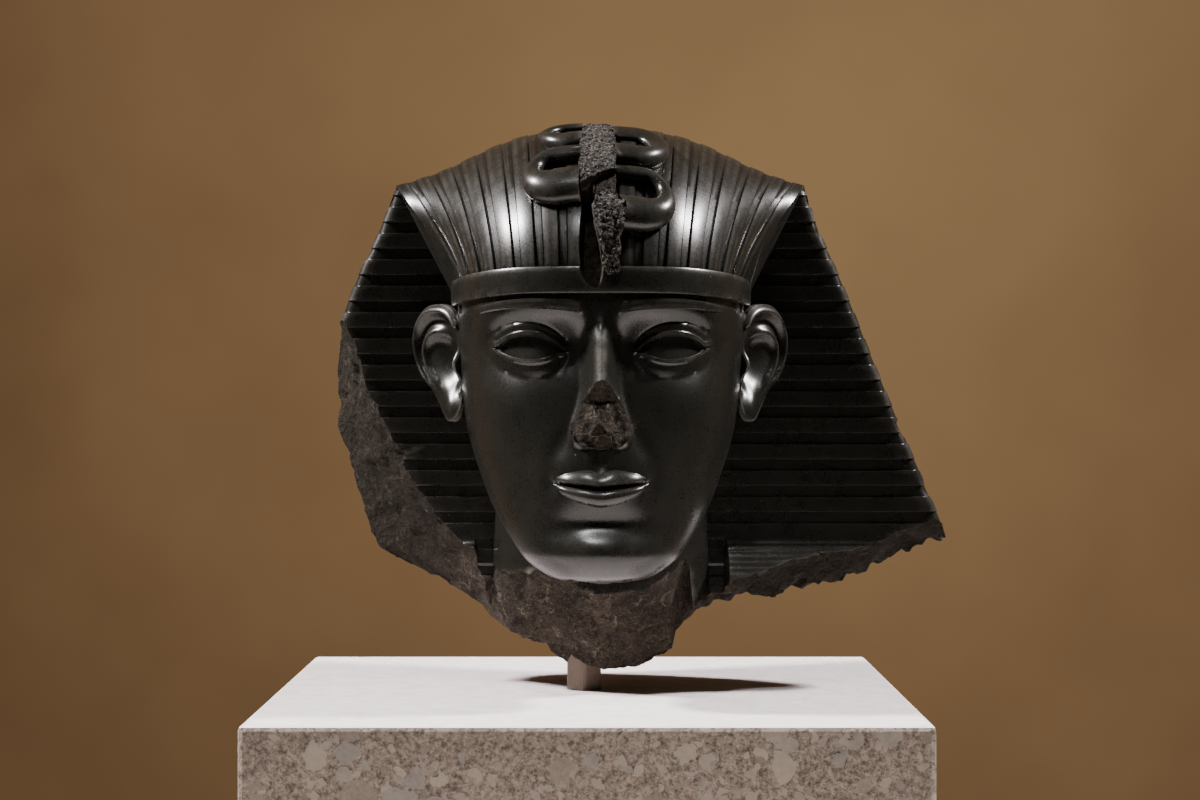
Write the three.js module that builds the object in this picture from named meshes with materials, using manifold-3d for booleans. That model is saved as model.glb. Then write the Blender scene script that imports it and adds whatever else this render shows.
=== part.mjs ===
// Royal head in a pleated headcloth, carved in one dark stone, broken below the chin and at one wing.
// A square metal post carries it above a stone block. Millimetres, +Z up, face towards -Y.
// The origin is the centre of the block's underside.

import * as THREE from 'three';
import { ParametricGeometry } from 'three/addons/geometries/ParametricGeometry.js';
import { RoundedBoxGeometry } from 'three/addons/geometries/RoundedBoxGeometry.js';
import { mergeVertices } from 'three/addons/utils/BufferGeometryUtils.js';
import Module from 'manifold-3d';

const wasm = await Module();
wasm.setup();

// Block and post
const plinth = { width: 280, depth: 280, height: 120, arris: 2 };
const post = { side: 12, corner: 2, x: -2, y: -7, turn: 42, intoPlinth: 28, top: 162 };
const clearance = 0.3;

// Place of the stone: its middle plane, and the height of the underside of its chin
const stone = { x: 5.6, chinHeight: 176 };

// From here on z is measured up from the chin, x across from the middle plane, and -y is forward.

// Face: one unit from the chin to the base of the nose, and one more to the brows
const unit = 57;
const face = {
  mouth: 0.68 * unit,
  noseBase: unit,
  eyes: 1.68 * unit,
  brows: 2 * unit,
  eyeOffset: 30.5,
  eyeHalfWidth: 13.5,
  mouthHalfWidth: 20,
  noseHalfWidth: 13,
};

// Half width, front, widest depth and rear of the head at heights above the chin
const headHeights = [-3, -1.5, 1, 5, 12, 23, 39, 57, 78, 100, 118, 135, 150];
const headHalfWidth = [10, 18, 24.5, 30.5, 36.5, 44, 51.5, 57.5, 61.5, 63, 63.5, 62, 56];
const headFront = [84, 90, 94.3, 97.6, 99.3, 97.8, 98.8, 98.4, 97, 98.5, 102.5, 100, 88];
const headWidestDepth = [76, 74, 71, 67, 60, 49, 37, 30, 27, 26, 26, 26, 26];
const headRear = [66, 60, 55, 47, 36, 18, 0, -12, -16, -18, -18, -18, -18];
const headRoundness = 2.45;

// Outline of the brow under the cloth: its height, the depth of its widest place, its front, how proud it is
const browLine = { height: 124, widest: 26, front: 102.5, proud: 1 };

// Neck column
const neck = { halfWidth: 50.5, halfDepth: 42, y: -5, flare: 0.07, taper: 3, bottom: -60, top: 60 };

// Headband over the forehead
const band = {
  proud: 2.6,
  top: 130,
  bottom: 118.9,
  round: 0.8,
  templeDrop: 3.3,
  templeDepth: 56,
  frontDepth: 100,
};

// Pleats of the cloth: a raised stripe and a sunk stripe
const pleat = { step: 0.8, edge: 0.5 };
const domePleat = { period: 10.3, raised: 6, perSide: 8 };
const wingPleat = { period: 11.8, raised: 6.3, first: 13 };

// Dome of the cloth over the skull, and the height of its crown at places across
const crownReach = [0, 27, 52, 67, 80, 91];
const crownHeights = [197, 195.2, 187.2, 179.8, 174.4, 170.6];
const dome = {
  crownDepth: -5,
  peakDepth: -17,
  peakHalfWidth: 91,
  crownSpread: 1.17,
  frontLength: 130,
  backHeight: 105,
  overlap: 1.5,
  underBand: 3,
  rimRoundness: 1.18,
  lean: 0.45,
  meetsWing: 1.3,
};

// Wings of the cloth behind the ears, and the lappet that starts at their foot
const wing = {
  top: 170,
  peakHalfWidth: 90.3,
  peakHeight: 173,
  spread: 0.33,
  flare: 0.095,
  flareDrop: 25,
  face: -18,
  edgeThickness: 30,
  peakThickness: 7,
  thinFrom: 128,
  edgeRound: 4,
  edgeStep: 0.4,
  bottom: -62,
};
const lappet = { top: 13, innerEdge: 56, forward: 26, fall: 24 };
const backHeights = [-62, 0, 60, 100, 112, 135, 170];
const backDepths = [54, 62, 82, 96, 92, 52, 0];
const backHollow = [1.35, 1.25, 1, 0.78, 0.75, 0.7, 0.7];

// The cloth bows out a little between its peaks and its foot, more so on the left
const bow = { height: 132, reach: 34, left: 0.03, right: 0.011, inside: 64, outside: 84 };

// Ears: plates turned outwards from the cheek
const ear = { x: 61.5, y: -47, z: 91, length: 52, width: 34, turn: 41, thickness: 8, lean: 0.5, front: 0.82 };

// Brow serpent: body coils beside a broken strip, the broken stub below it and the hollow beside the stub.
// Their places up the dome are lengths along its surface from the headband.
// Each run of a coil has its length, its half width and its height. A coil droops towards its bend.
const coils = [
  { side: -1, reach: 24.5, droop: 1.6, upper: [107, 2.8, 2.9], lower: [80.8, 5, 5.8] },
  { side: -1, reach: 28.2, droop: 0, upper: [68.3, 4.4, 5.5], lower: [45.5, 9, 9.2] },
  { side: 1, reach: 24.6, droop: 2.4, upper: [93, 6.4, 3.8], lower: [66, 6, 7.2] },
  { side: 1, reach: 26.6, droop: 0, upper: [53.8, 3.7, 5], lower: [29.8, 8.4, 8.8] },
];
const coilBendNarrower = 0.3;
const coilThickens = [0.38, 0.7];
const clearOfCoils = 16;
const serpentStrip = {
  left: -8.3,
  right: 5.8,
  root: 30.5,
  rootProud: 4.2,
  top: 110,
  proudBelow: 9.6,
  proudAbove: 1.9,
  footX: [-8.3, -6, -1.2, 1.8, 4.2, 5.8],
  footLengths: [38.5, 42.5, 47, 46.5, 48.5, 50.5],
  footCut: 8,
  besideFoot: 3,
};
const serpentStub = {
  lengths: [-0.6, 2.9, 11.7, 21.9, 26, 31, 36, 37.6],
  left: [3, 0.9, 0.4, -1.6, -3.1, -3.1, -2.1, -1.2],
  right: [5.4, 7.9, 7.5, 8.6, 10.2, 10.8, 9, 6.7],
  proudBelow: 4.6,
  proudAbove: 8.2,
  rise: [-2, 22],
  topDrop: 2.5,
  dropFrom: 30,
};
const serpentHollow = {
  lengths: [-5.9, -4.3, -1.3, 2.9, 11.7, 21.9, 31, 46, 51],
  left: [-2.3, -5, -7, -8.3, -9.1, -8.8, -8.2, -7.5, -7.3],
  right: [-1.7, -0.8, 0, 0.4, -0.4, -2.1, -3.1, -2.9, -2.9],
  depth: 10,
};

// The coils' ends are lost behind the stub, between the stub and the foot of the strip, and under the strip
const serpentRecess = {
  lengths: [4, 14, 26, 33, 38, 46, 50, 60, 84, 112],
  inset: 0.8,
  stubTop: [34, 38],
  gap: [-3.2, 6.2],
  stripFoot: [46, 50],
  underStrip: [-8, 5.5],
  floor: 3.9,
  floorDrop: 3.4,
  dropFrom: 60,
  dropTo: 108,
};

// Break of the left wing: where it starts on the front face, and where it ends behind
const breakHeights = [-60, -27, -8, 5, 15, 34, 65, 97, 119, 140];
const breakFront = [-30, -40, -52, -57, -65, -81, -98, -108, -115, -140];
const breakBack = [-30, -50, -84, -99, -105, -113, -120.5, -121.5, -124, -150];
const breakDepths = [-60, -18, 20, 60, 120];
const breakBehind = 0.25;

// Lower break: the lowest line of the stone seen from the front
const lowerX = [-200, -86, -75, -61, -47, -18, -8, 17, 25, 32.5, 34, 44, 53, 79, 95, 116, 132, 150, 200];
const lowerZ = [
  40, -5, -7.5, -12.5, -25, -38, -43, -44, -40, -35, -28, -18.5, -13.5, -11.5, -8, -4, 4.5, 12, 26,
];
const lowerBetween = [-54, -50, -33, 39, 41.5, 105];
const lowerDepths = [120, 60, 18, 0, -10, -18, -26, -36, -50, -75, -110];

// Under the throat the break climbs steeply to the chin, and under the lappet it climbs forwards
const throat = { left: -52, right: 39, blend: 2, depth: 0.38, rise: 1.35, top: -1.5, rightRise: 9 };
const underLappet = {
  depth: -4,
  riseInside: 0.25,
  riseOutside: 0.75,
  inside: 60,
  outside: 100,
  backRise: 0.22,
};

// Break of the nose: its middle, its reach to each side, and the depth and slopes of its planes
const noseBreak = {
  z: 68,
  halfWidth: 18.5,
  halfHeight: 17.5,
  depth: 103.2,
  left: 0.42,
  right: 0.45,
  lower: 60,
  below: 0.6,
  upper: 74,
  above: 0.8,
  rim: 9,
};

const degrees = Math.PI / 180;
const clamp = (value) => Math.min(1, Math.max(0, value));
const mix = (from, to, share) => from + (to - from) * share;
const bell = (distance, width) => Math.exp(-((distance / width) ** 2));
const power = (value, exponent) => Math.sign(value) * Math.abs(value) ** exponent;

/** Rises smoothly from 0 at one value to 1 at the other. */
function smooth(from, to, value) {
  const share = clamp((value - from) / (to - from));
  return share * share * (3 - 2 * share);
}

/** Value at one place of a line through short lists of places and values. */
function along(places, values, place) {
  let index = 0;
  while (index < places.length - 2 && place > places[index + 1]) index += 1;
  const share = clamp((place - places[index]) / (places[index + 1] - places[index]));
  return mix(values[index], values[index + 1], share);
}

/** The same, rounded over a short distance so that the line has no corners. */
function softly(places, values, place, reach) {
  let total = 0;
  for (const shift of [-1, -0.5, 0, 0.5, 1]) total += along(places, values, place + shift * reach);
  return total / 5;
}

/** Repeatable roughness of broken stone, from -1 to 1, at a place and with a grain in millimetres. */
function rough(x, y, z, grain) {
  const a = Math.sin(x / grain + 1.7 * Math.sin(y / grain) + 0.6);
  const b = Math.sin(y / grain + 1.3 * Math.sin(z / grain + 2.1) + 1.9);
  const c = Math.sin(z / grain + 1.5 * Math.sin(x / grain + 4.2) + 3.4);
  return (a + b + c) / 3;
}

/** List of values from one to the other in equal steps. */
function steps(from, to, count) {
  return Array.from({ length: count + 1 }, (unused, index) => mix(from, to, index / count));
}

/** Moves a point of the cloth's sides outwards by the bow of the wings. */
function bowed(point) {
  const outside = smooth(bow.inside, bow.outside, Math.abs(point.x)) * bell(point.z - bow.height, bow.reach);
  point.x *= 1 + (point.x < 0 ? bow.left : bow.right) * outside;
  return point;
}

/** A closed solid: each row is a ring of columns, and a middle point closes the first and last rings. */
function closedSolid(columns, rows, unbowed) {
  const place = (column, row) => bowed(unbowed(column, row));
  const first = place(0, 0).multiplyScalar(0);
  const last = first.clone();
  for (let column = 0; column < columns; column += 1) {
    first.addScaledVector(place(column, 0), 1 / columns);
    last.addScaledVector(place(column, rows - 1), 1 / columns);
  }
  const skin = new ParametricGeometry((u, v, target) => {
    const column = Math.round(u * columns) % columns;
    const ring = Math.round(v * (rows + 1)) - 1;
    if (ring < 0) target.copy(first);
    else if (ring >= rows) target.copy(last);
    else target.copy(place(column, ring));
  }, columns, rows + 1);
  return solid(skin);
}

/** A closed geometry as a solid that can be joined and cut. */
function solid(geometry) {
  const bare = geometry.clone();
  bare.deleteAttribute('normal');
  bare.deleteAttribute('uv');
  const merged = mergeVertices(bare, 1e-4);
  const points = merged.attributes.position;
  const corner = (index) => new THREE.Vector3().fromBufferAttribute(points, merged.index.array[index]);
  const kept = [];
  let volume = 0;
  for (let start = 0; start < merged.index.count; start += 3) {
    const [a, b, c] = merged.index.array.slice(start, start + 3);
    if (a !== b && b !== c && c !== a) kept.push(a, b, c);
    volume += corner(start).dot(corner(start + 1).cross(corner(start + 2)));
  }
  if (volume < 0) kept.reverse();
  return new wasm.Manifold(new wasm.Mesh({
    numProp: 3,
    vertProperties: Float32Array.from(merged.attributes.position.array),
    triVerts: Uint32Array.from(kept),
  }));
}

/** The solid inside the outer skin: pockets shut in between joined forms are filled. */
function outerSkin(body) {
  const skins = body.decompose();
  return skins.reduce((largest, skin) => (skin.volume() > largest.volume() ? skin : largest));
}

/** A solid as a geometry. */
function toGeometry(body) {
  const { vertProperties, triVerts } = body.getMesh();
  const geometry = new THREE.BufferGeometry();
  geometry.setAttribute('position', new THREE.BufferAttribute(Float32Array.from(vertProperties), 3));
  geometry.setIndex(Array.from(triVerts));
  geometry.computeVertexNormals();
  return geometry;
}

/** Outline of the head at one height, at an angle from the middle of the front. */
function headOutline(z, angle, offset = 0) {
  const soft = mix(1, 5, smooth(0, 20, z));
  const halfWidth = softly(headHeights, headHalfWidth, z, soft) + offset;
  const front = softly(headHeights, headFront, z, soft) + offset;
  const widest = softly(headHeights, headWidestDepth, z, soft);
  const rear = softly(headHeights, headRear, z, soft);
  const across = power(Math.sin(angle), 2 / headRoundness);
  const ahead = power(Math.cos(angle), 2 / headRoundness);
  const depth = ahead >= 0 ? widest + (front - widest) * ahead : widest + (widest - rear) * ahead;
  return { x: halfWidth * across, depth };
}

/** Height of the nose over the cheeks. */
function noseRelief(x, z) {
  const share = clamp((z - face.noseBase) / (face.eyes + 8 - face.noseBase));
  const height = mix(23, 4.5, share) * smooth(face.noseBase - 3, face.noseBase + 5, z);
  const halfWidth = mix(face.noseHalfWidth, 7.5, smooth(0, 0.5, share));
  const fade = 1 - smooth(face.eyes + 4, face.brows + 4, z);
  return height * fade * (1 - smooth(2.4, halfWidth, Math.abs(x)));
}

/** Eye socket, eyeball, lids and brow band on one side. */
function eyeRelief(x, z) {
  const across = (Math.abs(x) - face.eyeOffset) / face.eyeHalfWidth;
  const up = z - face.eyes;
  const innerSocket = -3 * bell(Math.abs(x) - 16, 6) * bell(up, 9);
  const socket = -6.5 * bell(Math.abs(x) - 29, 16) * bell(up - 3, 11) + innerSocket;
  const arch = clamp(1 - across * across);
  const upperLid = 5.6 * arch ** 0.8;
  const lowerLid = -4.2 * arch;
  const ball = 4.2 * Math.sqrt(clamp(1 - (across * 0.8) ** 2 - (up / 11) ** 2));
  const inWidth = 1 - smooth(0.95, 1.25, Math.abs(across));
  const upperRim = 1.6 * bell(up - upperLid - 1.4, 1.7) * inWidth;
  const lowerRim = 1 * bell(up - lowerLid + 1, 1.5) * inWidth;
  const browHeight = face.brows - 1 + 2.6 * (1 - ((Math.abs(x) - 27) / 24) ** 2);
  const inBrow = smooth(6, 9, Math.abs(x)) * (1 - smooth(50, 56, Math.abs(x)));
  const ridge = 2 * bell(z - browHeight + 3, 7) * inBrow;
  const brow = 1.5 * (1 - smooth(2, 3.2, Math.abs(z - browHeight))) * inBrow;
  return socket + ball + upperRim + lowerRim + ridge + brow;
}

/** Lips, groove above them, crease below them, chin and cheeks. */
function mouthRelief(x, z) {
  const across = clamp(Math.abs(x) / face.mouthHalfWidth);
  const up = z - face.mouth - 1.2 * across ** 2;
  const full = clamp(1 - across ** 2);
  const mound = 3 * bell(x, 26) * bell(z - face.mouth - 2, 17);
  const upperLip = 3.4 * full ** 0.7 * bell(up - 3.4 + 0.6 * bell(x, 3), 2.9);
  const lowerLip = 4.2 * full ** 0.6 * bell(up + 4.1, 3.4);
  const seam = -2.6 * bell(up, 1.3) * (1 - smooth(0.9, 1.15, Math.abs(x) / face.mouthHalfWidth));
  const groove = -1.1 * bell(x, 2.6) * smooth(face.mouth + 5, face.mouth + 9, z) * (1 - smooth(54, 58, z));
  const corner = -1.6 * bell(Math.abs(x) - face.mouthHalfWidth - 1.5, 3.4) * bell(up, 4);
  const crease = -2.4 * bell(x, 17) * bell(z - 23.5, 4.4);
  const chin = 2.2 * bell(x, 15) * bell(z - 11, 8);
  const cheek = 2.4 * bell(Math.abs(x) - 38, 17) * bell(z - 70, 15);
  const fold = -0.9 * bell(Math.abs(x) - 15 - 0.5 * (58 - z), 4) * bell(z - 54, 9);
  return mound + upperLip + lowerLip + seam + groove + corner + crease + chin + cheek + fold;
}

/** Head without its cloth: face in front, plain behind. */
function headBody() {
  const frontAngles = [0, 2.4, 5.5, 9, 13, 17, 21, 25, 29, 33, 37.5, 43, 51, 62, 76];
  const rearAngles = [95, 150];
  const half = [...frontAngles.slice(1), ...rearAngles];
  const turns = [...half.slice().reverse().map((angle) => -angle), 0, ...half];
  const lower = [-3, -1.5, 1, 5, 11, 18, 23.5, 29, 33.5, 37, 38.8, 40.7, 43.5, 47, 52, 56.5, 60, 67, 75, 83];
  const upper = [89, 92.5, 95, 98, 101, 103.5, 106.5, 110, 112.3, 114, 116.5, 118.3, 146];
  const heights = [...lower, ...upper];
  return closedSolid(turns.length, heights.length, (column, row) => {
    const z = heights[row];
    const angle = turns[column] * degrees;
    const { x, depth } = headOutline(z, angle);
    const facing = smooth(10, 45, depth);
    const relief = (noseRelief(x, z) + eyeRelief(x, z) + mouthRelief(x, z)) * facing;
    return new THREE.Vector3(x, -(depth + relief), z);
  });
}

/** Neck column, a little wider below. */
function neckBody() {
  const heights = steps(neck.bottom, neck.top, 5);
  const columns = 20;
  return closedSolid(columns, heights.length, (column, row) => {
    const angle = (column / columns) * 360 * degrees;
    const z = heights[row];
    const halfWidth = neck.halfWidth - neck.flare * Math.min(0, z) - neck.taper * smooth(0, neck.top, z);
    return new THREE.Vector3(halfWidth * Math.cos(angle), neck.y + neck.halfDepth * Math.sin(angle), z);
  });
}

/** Outline of the brow under the cloth, at an angle from the middle of the front. */
const browOutline = (angle) => headOutline(browLine.height, angle * degrees, browLine.proud);

/** Length along the brow outline from its middle to each of many angles, for placing the pleats. */
const browFront = browLine.front + browLine.proud;
const templeShare = (band.templeDepth - browLine.widest) / (browFront - browLine.widest);
const browAngleEnd = Math.acos(templeShare ** (headRoundness / 2)) / degrees;
const browAngles = steps(0, browAngleEnd, 240);
const browLengths = [0];
for (let index = 1; index < browAngles.length; index += 1) {
  const from = browOutline(browAngles[index - 1]);
  const to = browOutline(browAngles[index]);
  browLengths.push(browLengths[index - 1] + Math.hypot(to.x - from.x, to.depth - from.depth));
}
const browLength = browLengths[browLengths.length - 1];

/** Point of the dome: share across from the middle (-1 to 1), and rise (0 brow, 1 crown, 2 back). */
function domePoint(share, rise, lift) {
  const side = Math.sign(share);
  const reach = Math.abs(share);
  const brow = browOutline(along(browLengths, browAngles, reach * browLength));
  const browHeight = band.top - dome.underBand - band.templeDrop * reach * reach;
  const rimSpread = dome.peakHalfWidth / browOutline(browAngleEnd).x - dome.crownSpread;
  const crownX = brow.x * (dome.crownSpread + rimSpread * reach * reach);
  const crownZ = softly(crownReach, crownHeights, crownX, 6);
  const crownY = mix(dome.crownDepth, dome.peakDepth, reach * reach);
  const place = (at) => {
    if (at <= 1) {
      const roundness = mix(2, dome.rimRoundness, reach ** 1.5);
      const up = Math.sin(at * 90 * degrees) ** (2 / roundness);
      const back = 1 - Math.cos(at * 90 * degrees) ** (2 / roundness);
      const x = mix(brow.x, crownX, up ** 1.3);
      return new THREE.Vector3(x, mix(-brow.depth, crownY, back), mix(browHeight, crownZ, up));
    }
    const down = 1 - Math.cos((at - 1) * 90 * degrees);
    const back = Math.sin((at - 1) * 90 * degrees);
    const z = mix(crownZ, dome.backHeight, down);
    const endX = mix(crownX * 0.9, wingHalfWidth(dome.backHeight), reach ** 2.2);
    const endY = wingBack(endX, dome.backHeight) + dome.overlap;
    const toWing = reach ** 8 * smooth(1, dome.meetsWing, at);
    const x = mix(mix(crownX, endX, down), wingHalfWidth(z), toWing);
    return new THREE.Vector3(x, mix(crownY, endY, back), z);
  };
  const here = place(rise);
  if (lift !== 0) {
    const ahead = place(Math.min(2, rise + 0.02));
    const behind = place(Math.max(0, rise - 0.02));
    const tangent = ahead.sub(behind).normalize();
    const across = new THREE.Vector3(1, 0, -dome.lean * reach).normalize();
    here.addScaledVector(across.cross(tangent).normalize(), lift);
  }
  here.x *= side === 0 ? 1 : side;
  return here;
}

/** Shares across the dome at which its stripes start and end, with the level of each. */
function domeStripes() {
  const stripes = [];
  for (let index = 0; index < domePleat.perSide; index += 1) {
    const middle = index * domePleat.period;
    stripes.push([middle + domePleat.raised / 2, 0]);
    stripes.push([middle + domePleat.raised / 2 + pleat.edge, -pleat.step]);
    stripes.push([middle + domePleat.period - domePleat.raised / 2 - pleat.edge, -pleat.step]);
    stripes.push([middle + domePleat.period - domePleat.raised / 2, 0]);
  }
  const inside = stripes.filter(([length]) => length < browLength - 1);
  const half = [...inside, [browLength, 0]].map(([length, level]) => [length / browLength, level]);
  return [...half.slice().reverse().map(([share, level]) => [-share, level]), ...half];
}

/** Dome of the cloth, from the headband over the crown to the back, with its rim down to the temples. */
function domeBody() {
  const stripes = domeStripes();
  const rises = [0, 0.19, 0.4, 0.66, 1, 1.35, 1.7, 2];
  const columns = stripes.length + 2;
  return closedSolid(columns, rises.length, (column, row) => {
    const rise = rises[row];
    const fade = mix(1, 0.45, smooth(0.25, 1, rise));
    if (column < stripes.length) return domePoint(stripes[column][0], rise, stripes[column][1] * fade);
    const side = column === stripes.length ? 1 : -1;
    const rim = domePoint(1, rise, 0);
    const inner = Math.min(headOutline(118, browAngleEnd * degrees, 0.4).x, rim.x);
    return new THREE.Vector3(side * inner, rim.y, Math.min(112, rim.z - 10));
  });
}

/** Half width of the wings at one height. */
function wingHalfWidth(z) {
  const drop = wing.peakHeight - z;
  return wing.peakHalfWidth + wing.spread * drop + wing.flare * Math.max(0, drop - wing.flareDrop);
}

/** Front of the wing: a flat face that comes forward below as the start of the lappet. */
function wingFront(x, z) {
  const onLappet = smooth(lappet.innerEdge - 1, lappet.innerEdge + 1, Math.abs(x));
  return wing.face - lappet.forward * smooth(0, lappet.fall, lappet.top - z) * onLappet;
}

/** Thickness of the wings' outer edge, thin at the peaks. */
const wingThickness = (z) => mix(wing.edgeThickness, wing.peakThickness, smooth(wing.thinFrom, wing.top, z));

/** Back of the cloth: full behind the skull, thinner towards the wings' edges. */
function wingBack(x, z) {
  const share = clamp(Math.abs(x) / wingHalfWidth(z));
  const depth = softly(backHeights, backDepths, z, 12);
  const hollow = softly(backHeights, backHollow, z, 12);
  const edge = wing.face + wingThickness(z);
  return edge + (depth - edge) * (1 - share ** 2) ** hollow;
}

/** Heights at which the wings' stripes start and end, with the level of each. */
function wingRows() {
  const rows = [];
  rows.push([wing.bottom, 0]);
  for (let start = wingPleat.first - wingPleat.period; start < wing.top; start += wingPleat.period) {
    rows.push([start, 0]);
    rows.push([start + wingPleat.raised, 0]);
    rows.push([start + wingPleat.raised + pleat.edge, pleat.step]);
    rows.push([start + wingPleat.period - pleat.edge, pleat.step]);
  }
  return rows.filter(([z]) => z < wing.top);
}

/** Wings and back of the cloth, ring by ring from the bottom up. */
function wingBody() {
  const rows = wingRows();
  const front = [0, lappet.innerEdge - 1, lappet.innerEdge + 1];
  const back = [0.88, 0.62, 0.33];
  const outerShare = 0.94;
  const halfRing = (z, sunk) => {
    const width = wingHalfWidth(z) - wing.edgeStep * sunk;
    const edgeX = mix(lappet.innerEdge + 1, width, outerShare);
    const faceSunk = (x) => (x > lappet.innerEdge && z < lappet.top ? 0 : sunk);
    const ring = [...front, edgeX].map((x) => [x, wingFront(x, z) + faceSunk(x)]);
    ring.push([width, wingFront(width, z) + faceSunk(width) + wing.edgeRound]);
    ring.push([width, wing.face + Math.max(wing.edgeRound + 1, wingThickness(z) - wing.edgeRound) - sunk]);
    for (const share of back) ring.push([width * share, wingBack(width * share, z) - sunk]);
    return ring;
  };
  const count = halfRing(0, 0).length;
  const columns = 2 * count;
  return closedSolid(columns, rows.length, (column, row) => {
    const [z, sunk] = rows[row];
    const ring = halfRing(z, sunk);
    if (column < count) return new THREE.Vector3(ring[column][0], ring[column][1], z);
    if (column === count) return new THREE.Vector3(0, wingBack(0, z) - sunk, z);
    const [x, y] = ring[columns - column];
    return new THREE.Vector3(-x, y, z);
  });
}

/** Headband: a slab a little wider than the brow. */
function bandBody() {
  const frontAngles = steps(-84, 84, 20);
  const angles = [...frontAngles, 120, 180, 240];
  const levels = [band.bottom, band.bottom + band.round, band.top - band.round, band.top];
  const proud = [band.proud - band.round, band.proud, band.proud, band.proud - band.round];
  return closedSolid(angles.length, levels.length, (column, row) => {
    const { x, depth } = headOutline(browLine.height, angles[column] * degrees, proud[row]);
    const reach = clamp((band.frontDepth - depth) / (band.frontDepth - band.templeDepth));
    return new THREE.Vector3(x, -depth, levels[row] - band.templeDrop * reach);
  });
}

/** Relief of the ear at a place on its plate, from the middle outwards. */
function earRelief(u, v, share) {
  const rim = 3.6 * bell(share - 0.87, 0.11) * smooth(-0.62, -0.2, v);
  const fold = 2.4 * bell(share - 0.54, 0.13) * smooth(-0.55, -0.15, v) * smooth(-0.5, 0, u);
  const bowl = -5 * bell(Math.hypot(u + 0.22, (v - 0.02) * 0.8), 0.42);
  const flap = 3.8 * bell(Math.hypot(u + 0.78, v + 0.06), 0.22);
  const lobe = 2.8 * bell(Math.hypot(u + 0.12, (v + 0.72) * 0.9), 0.3);
  return rim + fold + bowl + flap + lobe;
}

/** Ear: a plate of ear outline with its rim, fold, hollow and lobe. */
function earBody(side) {
  const shares = [0.16, 0.36, 0.52, 0.68, 0.86, 0.97];
  const backShares = [1, 0.7, 0.35];
  const behind = [-0.25, -0.8, -1].map((part) => part * ear.thickness);
  const columns = 18;
  const turn = ear.turn * degrees;
  return closedSolid(columns, shares.length + backShares.length, (column, row) => {
    const angle = side * (column / columns) * 360 * degrees;
    const backRow = row - shares.length;
    const share = backRow < 0 ? shares[row] : backShares[backRow];
    const taper = 1 - 0.38 * smooth(0.5, -0.7, Math.sin(angle)) + 0.04 * Math.sin(angle);
    const u = power(Math.cos(angle), 0.84) * taper * share;
    const v = power(Math.sin(angle), 0.88) * share;
    const outward = backRow < 0 ? earRelief(u, v, share) : behind[backRow];
    const across = (u + ear.front - ear.lean * smooth(0.2, -1, v)) * ear.width / 2;
    const out = across * Math.sin(turn) + outward * Math.cos(turn);
    const back = across * Math.cos(turn) - outward * Math.sin(turn);
    return new THREE.Vector3(side * (ear.x + out), ear.y + back, ear.z + v * ear.length / 2);
  });
}

/** Point on the dome at a distance across and a length up from the headband, lifted off its surface. */
function onDome(x, length, lift) {
  const rise = Math.max(0, length / dome.frontLength);
  const spread = mix(1, dome.crownSpread, Math.min(1, Math.sin(Math.min(1, rise) * 90 * degrees)) ** 1.3);
  const point = domePoint(x / (browLength * spread), rise, lift);
  point.z += Math.min(0, length);
  return point;
}

/** One loop of the serpent's body, out from the middle strip and back, thicker towards its head. */
function coilBody({ side, reach, droop, upper, lower }) {
  const middle = (upper[0] + lower[0]) / 2;
  const half = (upper[0] - lower[0]) / 2;
  const bend = reach - Math.min(half, 10);
  const stations = [-4, 5, bend].map((x) => ({ x, length: upper[0], outX: 0, outLength: 1 }));
  for (const turn of steps(65, -65, 4)) {
    const outX = Math.cos(turn * degrees);
    const outLength = Math.sin(turn * degrees);
    stations.push({ x: bend + (reach - bend) * outX, length: middle + half * outLength, outX, outLength });
  }
  for (const x of [bend, 5, -4]) stations.push({ x, length: lower[0], outX: 0, outLength: -1 });
  const angles = [0, 40, 90, 140, 180, 225, 315];
  return closedSolid(angles.length, stations.length, (column, row) => {
    const { x, length, outX, outLength } = stations[row];
    const share = smooth(...coilThickens, row / (stations.length - 1));
    const angle = angles[column] * degrees;
    const halfWidth = mix(upper[1], lower[1], share) * (1 - coilBendNarrower * outX);
    const outward = Math.max(halfWidth * Math.cos(angle), 1 - half);
    const lift = mix(upper[2], lower[2], share) * (0.3 + 0.7 * Math.sin(angle));
    const drop = droop * (Math.max(0, x) / reach) ** 2;
    return onDome(side * (x + outX * outward), length + outLength * outward - drop, lift);
  });
}

/** A bar of broken stone that follows the dome between two lengths up from the headband. */
function roughBar(rows, sides, proud) {
  return closedSolid(5, rows.length, (column, row) => {
    const [left, right] = sides(rows[row]);
    if (column > 2) return onDome(column === 3 ? right : left, rows[row], -6);
    const x = mix(left, right, column / 2);
    return onDome(x, rows[row], proud(rows[row]) + 0.8 * rough(x, 0, rows[row], 2.7));
  });
}

/** The strip where the serpent's body has broken away: it overhangs at its slanted foot. */
function serpentStripBody() {
  const { left, right, root, rootProud, top, proudBelow, proudAbove } = serpentStrip;
  const { footX, footLengths, footCut, besideFoot } = serpentStrip;
  const proud = (length) => mix(proudBelow, proudAbove, smooth(footLengths[0], top, length));
  const whole = roughBar(steps(root, top, 10), () => [left, right], proud);
  const ledge = serpentRecess.gap[0];
  const beside = [left - besideFoot, right + besideFoot];
  const across = [beside[0], left, footX[1], ledge, ledge + 0.1, ...footX.slice(2), beside[1]];
  const cut = closedSolid(2 * across.length, 2, (column, row) => {
    const under = column >= across.length;
    const x = across[under ? 2 * across.length - 1 - column : column];
    const length = row === 0 ? root - footCut : along(footX, footLengths, x);
    const floor = x <= ledge ? -footCut : rootProud;
    return onDome(x, length, under ? floor : clearOfCoils);
  });
  return whole.subtract(cut);
}

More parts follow.
